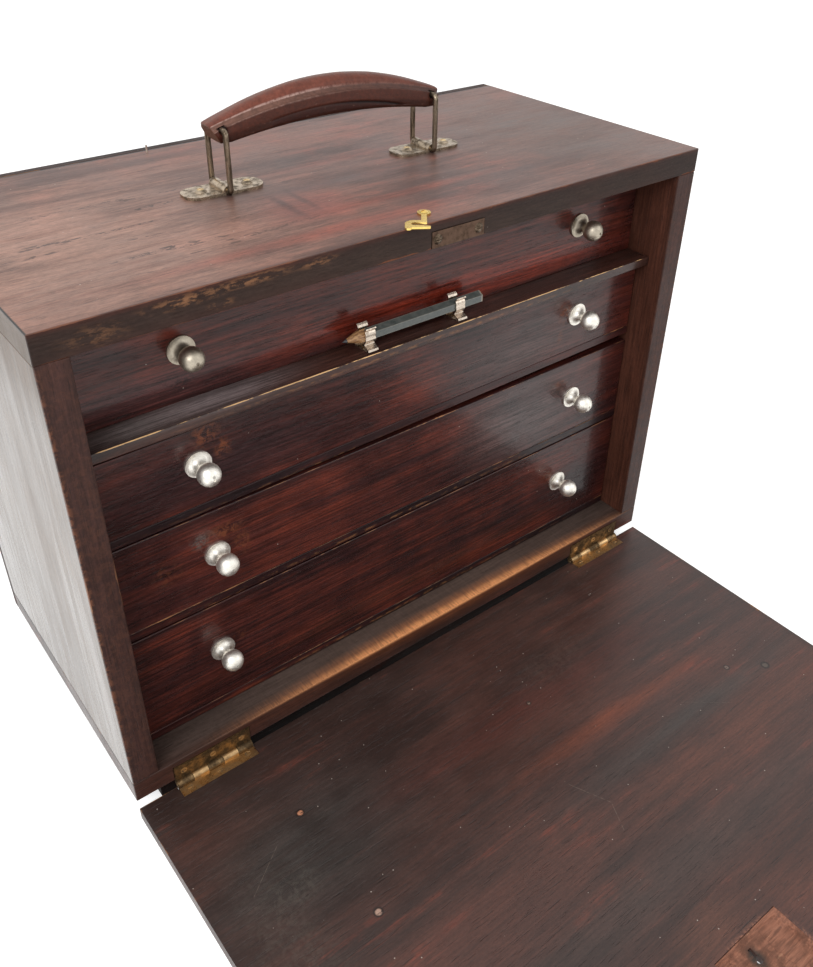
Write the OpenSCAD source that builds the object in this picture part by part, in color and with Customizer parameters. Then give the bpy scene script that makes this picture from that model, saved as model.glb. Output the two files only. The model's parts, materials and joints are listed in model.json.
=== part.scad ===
// Engineer's drop-front tool chest: a wooden case of four drawers behind a flap that lets down,
// with a leather carrying handle on wire loops, a swing hook on the lid and a pencil in two
// spring clips on the ledge of the top drawer.
// Units are millimetres. X is the width, the flap lets down towards -Y, and the floor is Z = 0.

/* [Case] */
// Outer width of the case
case_w = 432; // [380:1:520]
// Outer depth of the case with its back panel, flap left out
case_d = 208; // [170:1:280]
// Outer height of the case above its bearers
case_h = 305; // [290:1:360]
// Thickness of the top board
top_t = 15; // [12:0.5:20]
// Thickness of the bottom board
bottom_t = 15; // [13:0.5:20]
// Thickness of each side board
side_t = 16; // [12:0.5:22]
// Thickness of the back panel
back_t = 6.5; // [4:0.5:10]

/* [Bearers] */
// Width of a bearer from front to back
bearer_w = 24; // [16:1:40]
// Distance of the bearers' ends from the ends of the case
bearer_inset = 16; // [8:1:30]
// Distance of a bearer from the front or the back of the case
bearer_setback = 4; // [2:0.5:15]

/* [Flap] */
// Thickness of the flap
flap_t = 9; // [8:0.5:14]
// Gap between the closed flap and the case
flap_gap = 1.2; // [0.6:0.1:1.6]
// Distance from the hinge pin to the flap's hinge edge
flap_edge_gap = 1; // [0.5:0.1:2]
// How far the closed flap stays below the top of the case
flap_top_gap = 0.3; // [0.2:0.1:3]
// Width of the pocket left by the lock
pocket_w = 51; // [40:1:70]
// Length of the lock pocket from the flap's free edge
pocket_l = 46; // [36:1:60]
// Depth of the lock pocket
pocket_depth = 3.5; // [2:0.1:4.5]
// Distance of the lock pocket's middle right of the case's middle
pocket_shift = 3; // [-20:1:20]
// Radius of the round part of the keyhole
keyhole_r = 2.2; // [1.5:0.1:3]
// Length of the keyhole's slot
keyhole_slot_l = 7; // [5:0.5:10]
// Distance from the keyhole to the flap's free edge
keyhole_from_edge = 34; // [26:1:36]

/* [Drawers] */
// Height of the second drawer
drawer_2_h = 54; // [46:1:60]
// Height of the third drawer
drawer_3_h = 65; // [56:1:72]
// Height of the bottom drawer
drawer_4_h = 81.5; // [70:0.5:90]
// Gap under the bottom drawer
gap_under = 0.8; // [0.5:0.1:2]
// Gap between the third and the bottom drawer
gap_34 = 1.2; // [0.6:0.1:3]
// Mean gap between the second and the third drawer
gap_23 = 3.2; // [3:0.1:5]
// Mean gap between the ledge and the second drawer
gap_12 = 4.3; // [3:0.1:6]
// Gap above the top drawer
gap_over = 1; // [0.8:0.1:3]
// Side play between a drawer and the case
side_play = 1; // [0.8:0.1:2]
// Angle by which the worn second drawer sits higher on the right
sag_angle = 0.7; // [0:0.1:0.7]
// Distance of the top drawer's face behind the case's front
face_1_y = 31; // [28:0.5:36]
// Distance of the lower drawers' faces behind the case's front
face_2_y = 21.5; // [20.5:0.5:26]
// Distance of the ledge's front edge behind the case's front
ledge_y = 12.5; // [8:0.5:14]
// Thickness of a drawer front
front_t = 9.5; // [8:0.5:14]
// Thickness of a drawer's side boards
drawer_side_t = 10; // [9:0.5:14]
// Thickness of a drawer's back board
drawer_back_t = 8; // [6:0.5:12]
// Thickness of a drawer's bottom board, which shows below its front
drawer_bottom_t = 6; // [4:0.5:8]
// How far a drawer's sides and back stay below the top of its front
side_drop = 3; // [1:0.5:8]
// Gap behind the drawers
end_gap = 2.5; // [1.5:0.5:8]

/* [Runners] */
// Height of a runner strip
runner_h = 8; // [6:0.5:10]
// Height of a runner above its drawer's underside
runner_up = 14; // [12:0.5:18]
// Depth of the groove in a drawer's side
groove_depth = 5.6; // [4:0.1:6.5]
// Play above and below a runner in its groove
groove_play = 0.5; // [0.3:0.1:1]
// Radius of a runner screw's shank
runner_screw_r = 1.3; // [1:0.1:1.8]
// Length of a runner screw
runner_screw_l = 14; // [10:0.5:18]

/* [Knobs] */
// Distance between the two knobs of a drawer
knob_spacing = 283; // [180:1:310]
// Radius of a knob's ball
knob_ball_r = 6.5; // [5:0.1:8]
// Distance of the ball's middle from the drawer's face
knob_reach = 12.3; // [10:0.1:13]
// Radius of a knob's flared foot
knob_foot_r = 7.75; // [6.5:0.05:10]
// Thickness of the foot's rim
knob_rim_t = 1.2; // [0.8:0.1:2]
// Radius of a knob's neck
knob_neck_r = 2.9; // [2.5:0.1:3.5]
// Radius of a knob screw's shank
knob_screw_r = 1.8; // [1.2:0.1:2]
// Depth of the screw in the knob
knob_screw_in = 8; // [5:0.5:10]

/* [Pencil and clips] */
// Distance across the flats of the pencil
pencil_af = 7; // [6.4:0.1:7.4]
// Length of the pencil with its point
pencil_l = 100.5; // [90:0.5:170]
// Length of the sharpened cone
pencil_cone_l = 12.5; // [10:0.5:26]
// Distance of the pencil's middle right of the case's middle
pencil_shift = 1.4; // [-8:0.1:8]
// Radius of the pencil's lead
lead_r = 1.1; // [0.8:0.1:1.5]
// Height of the pencil's axis above the ledge
pencil_up = 8.5; // [8:0.1:10]
// Distance between the two spring clips
clip_spacing = 65.5; // [46:0.5:70]
// Distance of the clips' middle right of the case's middle
clip_shift = 0.8; // [-5:0.1:5]
// Width of a clip along the pencil
clip_w = 6.8; // [5:0.1:10]
// Thickness of the clip's spring strip
clip_t = 0.7; // [0.5:0.05:0.9]
// Half width of the clip's foot
clip_foot = 6.6; // [6:0.1:7.4]

/* [Hinges] */
// Length of a butt hinge
hinge_l = 50.8; // [38:0.1:63]
// Width of a hinge's case leaf from its pin
leaf_case_w = 14.5; // [12:0.1:16]
// Width of a hinge's flap leaf from its pin
leaf_flap_w = 9.6; // [8.6:0.1:13]
// Thickness of a hinge leaf
leaf_t = 1.3; // [1:0.1:1.8]
// Radius of a hinge knuckle
knuckle_r = 2.9; // [2.6:0.1:3.2]
// Radius of a hinge pin
pin_r = 1.3; // [1:0.05:1.6]
// Distance of the hinge pin below the case
hinge_drop = 4.3; // [3.5:0.1:5]
// Distance of the left hinge from the end of the case
hinge_inset_left = 24.5; // [18:0.5:60]
// Distance of the right hinge from the end of the case
hinge_inset_right = 21.5; // [18:0.5:60]
// Distance between neighbouring screws of a leaf
hinge_screw_pitch = 19.5; // [14:0.5:20]
// Distance of the case leaf's screws from the pin
hinge_case_screw_out = 8.5; // [7:0.1:9]
// Distance of the flap leaf's screws from the pin
hinge_flap_screw_out = 6; // [5.8:0.1:6.2]
// Radius of a hinge screw's head
hinge_screw_head_r = 2.1; // [1.8:0.1:2.2]
// Length of a hinge screw
hinge_screw_l = 7; // [5:0.5:7.5]

/* [Strike plate] */
// Length of the strike plate
strike_l = 36.5; // [30:0.5:50]
// Height of the strike plate
strike_h = 9.3; // [7:0.1:10]
// Thickness of the strike plate
strike_t = 1; // [0.8:0.1:1.6]
// Distance of the plate's middle right of the case's middle
strike_shift = 14.6; // [-20:0.1:40]
// Distance between the strike plate's screws
strike_screw_pitch = 28.6; // [22:0.1:30]

/* [Hook] */
// Distance of the hook's pivot right of the case's middle
hook_shift = 0.4; // [-10:0.1:10]
// Distance of the hook's pivot behind the case's front
hook_y = 12.3; // [11.5:0.1:13.5]
// Radius of the hook's eye
hook_eye_r = 3.7; // [3.4:0.1:5]
// Width of the hook's shank
hook_shank_w = 3; // [2.4:0.1:4]
// Thickness of the hook
hook_t = 1; // [0.8:0.1:2]
// Radius of the head of the hook's pivot screw
hook_head_r = 2.3; // [2:0.1:3.4]
// Height of the head of the hook's pivot screw
hook_head_h = 0.8; // [0.6:0.1:1.6]
// Radius of the peg that the hook catches
peg_r = 1.3; // [1:0.05:1.5]
// Distance of the peg from the flap's outer face
peg_in = 5; // [3:0.1:5]
// Angle at which the unlatched hook rests to the left
hook_rest_angle = 38; // [30:1:80]
// How far the slot runs behind the middle of the shank
hook_slot_l = 4.8; // [3:0.1:6]
// Width of the metal round the hook's slot
hook_rim = 3.2; // [2.5:0.1:4.5]
// How far the hook's heel reaches behind the middle of the shank
hook_heel = 10; // [8.5:0.1:12]
// How far the hook's tip reaches past the middle of the shank
hook_tip = 3.4; // [2:0.1:5]

/* [Handle] */
// Distance between the two wire loops
loop_spacing = 140; // [110:1:180]
// Distance of the handle's middle right of the case's middle
handle_x = 2; // [-10:0.5:10]
// Distance of the handle's middle behind the case's front
handle_y = 105.5; // [80:0.5:130]
// Angle by which the hand-fitted handle is turned
handle_skew = 2.2; // [0:0.1:4]
// Radius of the loop wire
wire_r = 1.6; // [1.2:0.1:1.8]
// Distance between a loop's two legs
loop_w = 23.4; // [23.4:0.1:30]
// Distance between a loop's lower and upper bars
loop_h = 33; // [28:0.5:42]
// Bend radius at a loop's corners
loop_bend = 2; // [1.9:0.1:2.1]
// Length of a handle plate
plate_l = 48; // [46:0.5:60]
// Width of a handle plate
plate_w = 18.6; // [16:0.1:18.8]
// Thickness of a handle plate
plate_t = 1.6; // [1:0.1:2.2]
// Radius of a handle plate's corners
plate_corner_r = 8; // [4:0.5:9]
// Distance of a plate's middle right of its loop
plate_shift = 0.3; // [0:0.1:2]
// Distance of a plate's screws right of the plate's middle
plate_screw_shift = 1.2; // [0:0.1:2]
// Distance between a plate's two screws
plate_screw_pitch = 28.5; // [26:0.5:32]
// Width of the grip at its middle
grip_w = 21.4; // [19:0.2:21.6]
// Width of the grip at the loops
grip_end_w = 18.2; // [17:0.1:18.6]
// Height of the grip's crown above the loops' upper bars
grip_crown = 19.2; // [17:0.1:20]
// Height of the crown above the loops' upper bars at the loops
grip_end_crown = 6; // [5.6:0.1:7]
// Length of the flat underside at each end of the grip
grip_heel = 18; // [12:0.5:26]
// How far the crown is domed across the grip
grip_dome = 5; // [2:0.1:5.5]
// Radius of the leather rolled round a loop
grip_roll_r = 5.8; // [5.2:0.1:6.2]
// Thickness of the grip's steel core
core_t = 5; // [4.6:0.1:5.6]
// Width of the grip's steel core
core_w = 12; // [8:0.5:14]

/* [Small parts] */
// Radius of the heads of the handle screws
round_head_r = 3.6; // [3:0.1:4]
// Radius of the shanks of the handle screws
round_shank_r = 1.7; // [1.2:0.1:2]
// Height of the domed screw heads
round_head_h = 1.8; // [1.2:0.1:2.4]
// Length of the domed screws' shanks in the wood
round_shank_l = 9; // [6:0.5:11]
// Height of the small pin near the back edge
back_pin_h = 4.6; // [3:0.1:8]
// Distance of the small pin left of the case's middle
back_pin_x = 72; // [40:1:120]

/* [Hidden] */

// Round parts are smooth
$fn = 64;
// Sides of the circles from which the handle's arcs are cut, and of the longest ones
arc_sides = 128;
long_arc_sides = 720;
// Overlap that makes cuts run clean through
eps = 0.5;
// Radial play of a pin or wire that turns in its eye
run_fit = 0.05;
// Radial play of a screw in its hole
screw_fit = 0.05;
// Play round a part that is let into the wood
let_in_play = 0.1;
// Space left below the tip of a screw or peg in its hole
tip_gap = 0.5;
// Radial play of a screw in the hole of the part that it holds
drilled_play = 0.15;

// Colours
stain_brown = [0.33, 0.17, 0.13];
stain_red = [0.36, 0.13, 0.10];
pale_wood = [0.62, 0.47, 0.30];
dark_wood = [0.16, 0.10, 0.08];
nickel = [0.78, 0.77, 0.72];
aged_brass = [0.62, 0.45, 0.18];
bright_brass = [0.92, 0.75, 0.32];
dull_steel = [0.55, 0.52, 0.47];
leather_red = [0.38, 0.17, 0.13];
pencil_grey = [0.25, 0.29, 0.28];
graphite = [0.2, 0.2, 0.2];

// Heights above the floor
base_h = hinge_drop + flap_gap / 2 + flap_t;
case_top_z = base_h + case_h;
hinge_z = base_h - hinge_drop;
hinge_pin_y = -flap_gap / 2;
open_w = case_w - 2 * side_t;
open_z = base_h + bottom_t;
open_top_z = case_top_z - top_t;
back_y = case_d - back_t;

// The flap's size, and the middle of the whole object from front to back
flap_top_z = case_top_z - flap_top_gap;
flap_bottom_z = hinge_z + flap_edge_gap;
peg_head_up = 3.4;
peg_head_h = 1.4;
peg_head_r = 2.5;
peg_y = -flap_gap - flap_t + peg_in;
free_reach = -hinge_pin_y + flap_top_z + peg_head_up + peg_head_h - hinge_z;
middle_y = (case_d - free_reach) / 2;

// Drawers from the top one down
drawer_4_z = open_z + gap_under;
drawer_3_z = drawer_4_z + drawer_4_h + gap_34;
drawer_2_z = drawer_3_z + drawer_3_h + gap_23;
drawer_1_z = drawer_2_z + drawer_2_h + gap_12;
drawer_z = [drawer_1_z, drawer_2_z, drawer_3_z, drawer_4_z];
drawer_h = [open_top_z - gap_over - drawer_1_z, drawer_2_h, drawer_3_h, drawer_4_h];
drawer_face = [face_1_y, face_2_y, face_2_y, face_2_y];
drawer_lead = [ledge_y, face_2_y, face_2_y, face_2_y];
drawer_tilt = [0, sag_angle, 0, 0];
drawer_w = open_w - 2 * side_play;
drawer_end = back_y - end_gap;
// Each drawer's knobs sit where its maker drilled them
knob_shift = [3.6, 0.8, 4.6, 0];
knob_lift = [0, 2.4, 0.2, 2];

// Runners
runner_groove_gap = 0.5;
runner_proud = side_play + groove_depth - runner_groove_gap;
runner_front_gap = 0.6;
runner_back_gap = 1;
runner_head_r = 2 * runner_screw_r;
runner_screw_from_end = 22;

// Knob screws
knob_head_r = 2 * knob_screw_r;
knob_head_t = 2.2;
knob_foot_lip = 0.7;
knob_flare = knob_foot_r - knob_neck_r - knob_foot_lip;
knob_pip_r = 0.8;
knob_pip_deep = 0.4;

// Ledge of the top drawer, and the pencil on it
ledge_z = drawer_z[0] + drawer_bottom_t;
pencil_forward = 0.4;
pencil_y = (ledge_y + face_1_y) / 2 - pencil_forward;
pencil_z = ledge_z + pencil_up;
pencil_corner_r = pencil_af / 2 / cos(30);
clip_play = 0.15;
clip_jaw = pencil_af / 2 + clip_t / 2 + clip_play;
clip_lip = 5.4;
clip_screw_r = 0.9;
clip_head_r = 1.8;
clip_head_h = 0.9;
clip_screw_l = 5;
lead_fit = 0.02;
lead_blunt = 0.8;
lead_sunk = 0.1;

// Hinges
hinge_x = [-case_w / 2 + hinge_inset_left + hinge_l / 2, case_w / 2 - hinge_inset_right - hinge_l / 2];
knuckles = 5;
knuckle_gap = 0.3;
knuckle_relief = 0.5;
knuckle_play = 0.15;
hinge_screw_r = 1.2;
screw_slot_w = 0.7;
screw_slot_d = 0.5;

// Strike plate, set in the front edge of the top board
strike_edge = 0.1;
strike_z = open_top_z + strike_edge + strike_h / 2;
strike_screw_r = 1.4;
strike_head_r = 2.9;
strike_head_h = 0.9;
strike_screw_l = 12;
strike_proud = 0.2;

// Hook
hook_x = hook_shift;
hook_lift = 0.1;
slot_r = hook_y - peg_y;
slot_sag = slot_r - sqrt(slot_r * slot_r - hook_slot_l * hook_slot_l);
slot_middle = slot_r - slot_sag / 2;
slot_play = 0.3;
slot_half = peg_r + slot_sag / 2 + slot_play;
hook_round = 5;
hook_foot_r = 1.8;
hook_taper = 0.6;
hook_screw_r = 1.4;
hook_screw_in = 7;

// Handle
loop_lift = 0.15;
loop_axis_up = wire_r + loop_lift;
loop_x = loop_spacing / 2;
tunnel_r = wire_r + run_fit;
bridge_r = tunnel_r + plate_t;
grip_fit = 0.1;
grip_bore_r = wire_r + grip_fit;
grip_roll_z = -0.6;
grip_side_spare = 1;
grip_fall = grip_crown - grip_end_crown;
grip_crown_arch = loop_x * loop_x / (2 * grip_fall) + grip_fall / 2;
grip_hollow = grip_roll_r - grip_roll_z;
grip_under_arch = (loop_x - grip_heel) * (loop_x - grip_heel) / (2 * grip_hollow) + grip_hollow / 2;
grip_taper = (grip_w - grip_end_w) / 2;
grip_plan_r = loop_x * loop_x / (2 * grip_taper) + grip_taper / 2;
core_end = 3.4;
core_arch = loop_x * loop_x / grip_crown + grip_crown / 4;
core_play = 0.1;

// Bearer screws
bearer_screw_r = 2;
bearer_head_r = 4;
bearer_screw_bite = 8;
bearer_screw_l = base_h + bearer_screw_bite;
bearer_sink = 3;
bearer_screw_from_end = 40;
bearer_screw_x = case_w / 2 - bearer_inset - bearer_screw_from_end;

// The part's own frame: the middle of the whole object, on the floor
module in_frame() {
    translate([0, -middle_y, 0]) children();
}

// A drawer's own frame: middle of its underside at the case's front
module in_drawer(n) {
    in_frame() translate([0, 0, drawer_z[n]]) rotate([0, -drawer_tilt[n], 0]) children();
}

// What is built on the closed flap, let down to lie open
module let_down() {
    in_frame() translate([0, hinge_pin_y, hinge_z]) rotate([90, 0, 0]) translate([0, -hinge_pin_y, -hinge_z])
        children();
}

// A box from its low corner to its high corner
module span(low, high) {
    translate(low) cube(high - low);
}

// A countersunk screw whose head is flush with z = 0 and whose shank points down
module flush_screw(head_r, shank_r, length, slot = true) {
    difference() {
        union() {
            translate([0, 0, -(head_r - shank_r)]) cylinder(h = head_r - shank_r, r1 = shank_r, r2 = head_r);
            translate([0, 0, -length]) cylinder(h = length, r = shank_r);
        }
        if (slot)
            span([-head_r - eps, -screw_slot_w / 2, -screw_slot_d], [head_r + eps, screw_slot_w / 2, eps]);
    }
}

// The hole for a countersunk screw
module flush_hole(head_r, shank_r, length) {
    translate([0, 0, -(head_r - shank_r)])
        cylinder(h = head_r - shank_r, r1 = shank_r + screw_fit, r2 = head_r + screw_fit);
    translate([0, 0, -length]) cylinder(h = length + eps, r = shank_r + screw_fit);
    translate([0, 0, -eps / 100]) cylinder(h = eps, r = head_r + screw_fit);
}

// A screw with a domed head that rests on z = 0 and a shank that points down
module domed_screw(head_r, head_h, shank_r, length) {
    ball_r = (head_r * head_r + head_h * head_h) / (2 * head_h);
    difference() {
        union() {
            intersection() {
                translate([0, 0, head_h - ball_r]) sphere(r = ball_r);
                cylinder(h = head_h, r = head_r);
            }
            translate([0, 0, -length]) cylinder(h = length + head_h / 4, r = shank_r);
        }
        span([-head_r - eps, -screw_slot_w / 2, head_h - screw_slot_d],
            [head_r + eps, screw_slot_w / 2, head_h + eps]);
    }
}

// The handle's own frame: its middle on the top board, with X along the handle
module on_handle() {
    translate([handle_x, handle_y, case_top_z]) rotate([0, 0, -handle_skew]) children();
}

// How far a plate's screw is right of its loop
function plate_screw_x(end) = plate_shift + plate_screw_shift + end * plate_screw_pitch / 2;

// Where the screws of the handle plates go
module at_plate_screws() {
    on_handle()
        for (side = [-1, 1])
            for (end = [-1, 1])
                translate([side * loop_x + plate_screw_x(end), 0, 0]) children();
}

// Where the screws of a hinge's case leaf go, with z pointing out of the case's front
module at_case_leaf_screws() {
    for (x = hinge_x)
        for (i = [-1, 0, 1])
            translate([x + i * hinge_screw_pitch, 0, hinge_z + hinge_case_screw_out]) rotate([90, 0, 0])
                children();
}

// Where the screws of a hinge's flap leaf go, with z pointing into the case
module at_flap_leaf_screws() {
    for (x = hinge_x)
        for (i = [-1, 0, 1])
            translate([x + i * hinge_screw_pitch, -flap_gap, hinge_z + hinge_flap_screw_out])
                rotate([-90, 0, 0]) children();
}

// Where the strike plate's screws go
module at_strike_screws() {
    for (end = [-1, 1])
        translate([strike_shift + end * strike_screw_pitch / 2, -strike_proud, strike_z])
            rotate([90, 0, 0]) children();
}

// Where the bearer screws go, with z pointing down
module at_bearer_screws(y) {
    for (x = [-bearer_screw_x, bearer_screw_x])
        translate([x, y, bearer_sink]) mirror([0, 0, 1]) children();
}

front_bearer_y = bearer_setback + bearer_w / 2;
back_bearer_y = case_d - bearer_setback - bearer_w / 2;

// Where a runner's screws go, with z pointing into the case's middle
module at_runner_screws(n, side) {
    for (y = [runner_front(n) + runner_screw_from_end, runner_back - runner_screw_from_end])
        translate([side * (open_w / 2 - runner_proud), y, runner_z(n, side)])
            rotate([0, -side * 90, 0]) children();
}

runner_back = back_y - runner_back_gap;
function runner_front(n) = drawer_face[n] + front_t + runner_front_gap;
function runner_z(n, side) = drawer_z[n] + runner_up * cos(drawer_tilt[n])
    + side * (open_w / 2 - runner_proud / 2) * sin(drawer_tilt[n]);

module case_top() in_frame() color(stain_brown) difference() {
    span([-case_w / 2, 0, open_top_z], [case_w / 2, back_y, case_top_z]);
    span([strike_shift - strike_l / 2 - let_in_play, -eps, open_top_z - eps],
        [strike_shift + strike_l / 2 + let_in_play, strike_t - strike_proud, strike_z + strike_h / 2 + let_in_play]);
    at_strike_screws() translate([0, 0, -strike_screw_l])
        cylinder(h = strike_screw_l, r = strike_screw_r + screw_fit);
    at_plate_screws() translate([0, 0, -round_shank_l])
        cylinder(h = round_shank_l + eps, r = round_shank_r + screw_fit);
    translate([hook_x, hook_y, case_top_z - hook_screw_in])
        cylinder(h = hook_screw_in + eps, r = hook_screw_r + screw_fit);
    translate([-back_pin_x, back_pin_y, case_top_z - back_pin_in])
        cylinder(h = back_pin_in + eps, r = back_pin_r);
}

module case_bottom() in_frame() color(stain_brown) difference() {
    span([-case_w / 2, 0, base_h], [case_w / 2, back_y, open_z]);
    for (x = hinge_x)
        span([x - hinge_l / 2 - let_in_play, -eps, base_h - eps],
            [x + hinge_l / 2 + let_in_play, leaf_t, hinge_z + leaf_case_w + let_in_play]);
    at_case_leaf_screws() translate([0, 0, -hinge_screw_l])
        cylinder(h = hinge_screw_l, r = hinge_screw_r + screw_fit);
    at_bearer_screws(front_bearer_y) translate([0, 0, -bearer_screw_l])
        cylinder(h = bearer_screw_l, r = bearer_screw_r + screw_fit);
    at_bearer_screws(back_bearer_y) translate([0, 0, -bearer_screw_l])
        cylinder(h = bearer_screw_l, r = bearer_screw_r + screw_fit);
}

module case_side(side) in_frame() color(stain_brown) difference() {
    span([side > 0 ? open_w / 2 : -case_w / 2, 0, open_z],
        [side > 0 ? case_w / 2 : -open_w / 2, back_y, open_top_z]);
    for (n = [0:3])
        at_runner_screws(n, side)
            translate([0, 0, -runner_screw_l]) cylinder(h = runner_screw_l, r = runner_screw_r + screw_fit);
}

module case_back() in_frame() color(stain_brown)
    span([-case_w / 2, back_y, base_h], [case_w / 2, case_d, case_top_z]);

module bearer(y) in_frame() color(dark_wood) difference() {
    span([-case_w / 2 + bearer_inset, y - bearer_w / 2, 0],
        [case_w / 2 - bearer_inset, y + bearer_w / 2, base_h]);
    at_bearer_screws(y) flush_hole(bearer_head_r, bearer_screw_r, bearer_screw_l);
    at_bearer_screws(y) cylinder(h = bearer_sink + eps, r = bearer_head_r + screw_fit);
}

module bearer_screws() in_frame() color(dull_steel) {
    at_bearer_screws(front_bearer_y) flush_screw(bearer_head_r, bearer_screw_r, bearer_screw_l - tip_gap);
    at_bearer_screws(back_bearer_y) flush_screw(bearer_head_r, bearer_screw_r, bearer_screw_l - tip_gap);
}

module runners(side) in_frame() color(pale_wood)
    for (n = [0:3])
        difference() {
            span([side > 0 ? open_w / 2 - runner_proud : -open_w / 2, runner_front(n), runner_z(n, side) - runner_h / 2],
                [side > 0 ? open_w / 2 : -open_w / 2 + runner_proud, runner_back, runner_z(n, side) + runner_h / 2]);
            at_runner_screws(n, side) flush_hole(runner_head_r, runner_screw_r, runner_screw_l);
        }

module runner_screws() in_frame() color(dull_steel)
    for (side = [-1, 1])
        for (n = [0:3])
            at_runner_screws(n, side) flush_screw(runner_head_r, runner_screw_r, runner_screw_l - tip_gap);

back_pin_r = 0.6;
back_pin_in = 8;
back_pin_setback = 5;
back_pin_y = back_y - back_pin_setback;

module back_pin() in_frame() color(bright_brass)
    translate([-back_pin_x, back_pin_y, case_top_z - back_pin_in])
        cylinder(h = back_pin_in + back_pin_h, r = back_pin_r);

// Where a drawer's knobs go, with z pointing out of the drawer's face
module at_knobs(n) {
    front_mid = (drawer_bottom_t + drawer_h[n]) / 2;
    for (side = [-1, 1])
        translate([knob_shift[n] + side * knob_spacing / 2, drawer_face[n], front_mid + knob_lift[n]])
            rotate([90, 0, 0]) children();
}

module drawer_front(n) in_drawer(n) color(stain_red) difference() {
    span([-drawer_w / 2, drawer_face[n], drawer_bottom_t],
        [drawer_w / 2, drawer_face[n] + front_t, drawer_h[n]]);
    at_knobs(n) translate([0, 0, -front_t - eps])
        cylinder(h = front_t + 2 * eps, r = knob_screw_r + drilled_play);
}

module drawer_sides(n) in_drawer(n) color(pale_wood)
    for (side = [-1, 1])
        difference() {
            span([side > 0 ? drawer_w / 2 - drawer_side_t : -drawer_w / 2, drawer_face[n] + front_t, drawer_bottom_t],
                [side > 0 ? drawer_w / 2 : -drawer_w / 2 + drawer_side_t, drawer_end, drawer_h[n] - side_drop]);
            span([side > 0 ? drawer_w / 2 - groove_depth : -drawer_w / 2 - eps, drawer_face[n] + front_t - eps,
                    runner_up - runner_h / 2 - groove_play],
                [side > 0 ? drawer_w / 2 + eps : -drawer_w / 2 + groove_depth, drawer_end + eps,
                    runner_up + runner_h / 2 + groove_play]);
        }

module drawer_back(n) in_drawer(n) color(pale_wood)
    span([-drawer_w / 2 + drawer_side_t, drawer_end - drawer_back_t, drawer_bottom_t],
        [drawer_w / 2 - drawer_side_t, drawer_end, drawer_h[n] - side_drop]);

module drawer_bottom(n) in_drawer(n) color(stain_red) difference() {
    span([-drawer_w / 2, drawer_lead[n], 0], [drawer_w / 2, drawer_end, drawer_bottom_t]);
    if (n == 0)
        at_clips() translate([0, 0, drawer_bottom_t - clip_screw_l])
            cylinder(h = clip_screw_l + eps, r = clip_screw_r + screw_fit);
}

module knob() difference() {
    union() {
        cylinder(h = knob_rim_t, r = knob_foot_r);
        rotate_extrude() difference() {
            square([knob_neck_r + knob_flare, knob_rim_t + knob_flare]);
            translate([knob_neck_r + knob_flare, knob_rim_t + knob_flare]) circle(r = knob_flare);
        }
        cylinder(h = knob_reach, r = knob_neck_r);
        translate([0, 0, knob_reach]) sphere(r = knob_ball_r);
    }
    translate([0, 0, -eps]) cylinder(h = knob_screw_in + eps, r = knob_screw_r + screw_fit);
    translate([0, 0, knob_reach + knob_ball_r - knob_pip_deep]) cylinder(h = eps, r = knob_pip_r);
}

module drawer_knobs(n) in_drawer(n) color(nickel) at_knobs(n) knob();

module drawer_knob_screws(n) in_drawer(n) color(aged_brass) at_knobs(n) difference() {
    union() {
        translate([0, 0, -front_t - knob_head_t]) cylinder(h = knob_head_t, r = knob_head_r);
        translate([0, 0, -front_t]) cylinder(h = front_t + knob_screw_in - tip_gap, r = knob_screw_r);
    }
    span([-knob_head_r - eps, -screw_slot_w / 2, -front_t - knob_head_t - eps],
        [knob_head_r + eps, screw_slot_w / 2, -front_t - knob_head_t + screw_slot_d]);
}

// Where the clips stand on the ledge of the top drawer
module at_clips() {
    for (side = [-1, 1])
        translate([clip_shift + side * clip_spacing / 2, pencil_y, 0]) children();
}

// Middle line of one half of a clip's strip, from its foot up to its lip
clip_line = [[0, clip_t / 2], [clip_foot - 0.6, clip_t / 2], [clip_foot, 0.9], [clip_foot - 0.4, 1.7],
    [clip_jaw + 0.2, 2.5], [clip_jaw - 1.2, 3.3], [clip_jaw - 1.5, pencil_up - 4.4],
    [clip_jaw - 1.1, pencil_up - 3.6], [clip_jaw - 0.1, pencil_up - 2.6], [clip_jaw + 0.2, pencil_up - 1.6],
    [clip_jaw, pencil_up - 0.6], [clip_jaw, pencil_up + 0.6], [clip_jaw + 0.1, pencil_up + 1.6],
    [clip_jaw - 0.2, pencil_up + 2.6], [clip_jaw - 0.7, pencil_up + 3.6], [clip_jaw - 0.2, pencil_up + 4.6],
    [clip_jaw + 0.7, pencil_up + clip_lip]];

function unit(v) = v / norm(v);
function along(line, i) = i == 0 ? unit(line[1] - line[0])
    : i == len(line) - 1 ? unit(line[i] - line[i - 1])
    : unit(unit(line[i] - line[i - 1]) + unit(line[i + 1] - line[i]));
function beside(line, gap) = [for (i = [0:len(line) - 1]) line[i] + gap * [-along(line, i)[1], along(line, i)[0]]];
function backwards(line) = [for (i = [len(line) - 1:-1:0]) line[i]];

module clip(side) in_drawer(0) color(nickel)
    translate([clip_shift + side * clip_spacing / 2, pencil_y, drawer_bottom_t]) difference() {
        for (half = [0, 1])
            mirror([0, half, 0]) rotate([90, 0, 90]) translate([0, 0, -clip_w / 2]) linear_extrude(clip_w)
                polygon(concat(beside(clip_line, clip_t / 2), backwards(beside(clip_line, -clip_t / 2))));
        translate([0, 0, -eps]) cylinder(h = clip_t + 2 * eps, r = clip_screw_r + screw_fit);
    }

module clip_screws() in_drawer(0) color(aged_brass)
    at_clips() translate([0, 0, drawer_bottom_t + clip_t])
        domed_screw(clip_head_r, clip_head_h, clip_screw_r, clip_screw_l + clip_t - tip_gap);

// The pencil's own frame: point at the origin, barrel along +X, corners up and down
module at_pencil() {
    in_drawer(0) translate([pencil_shift - pencil_l / 2, pencil_y, pencil_z - drawer_z[0]]) rotate([0, 90, 0])
        children();
}

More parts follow.
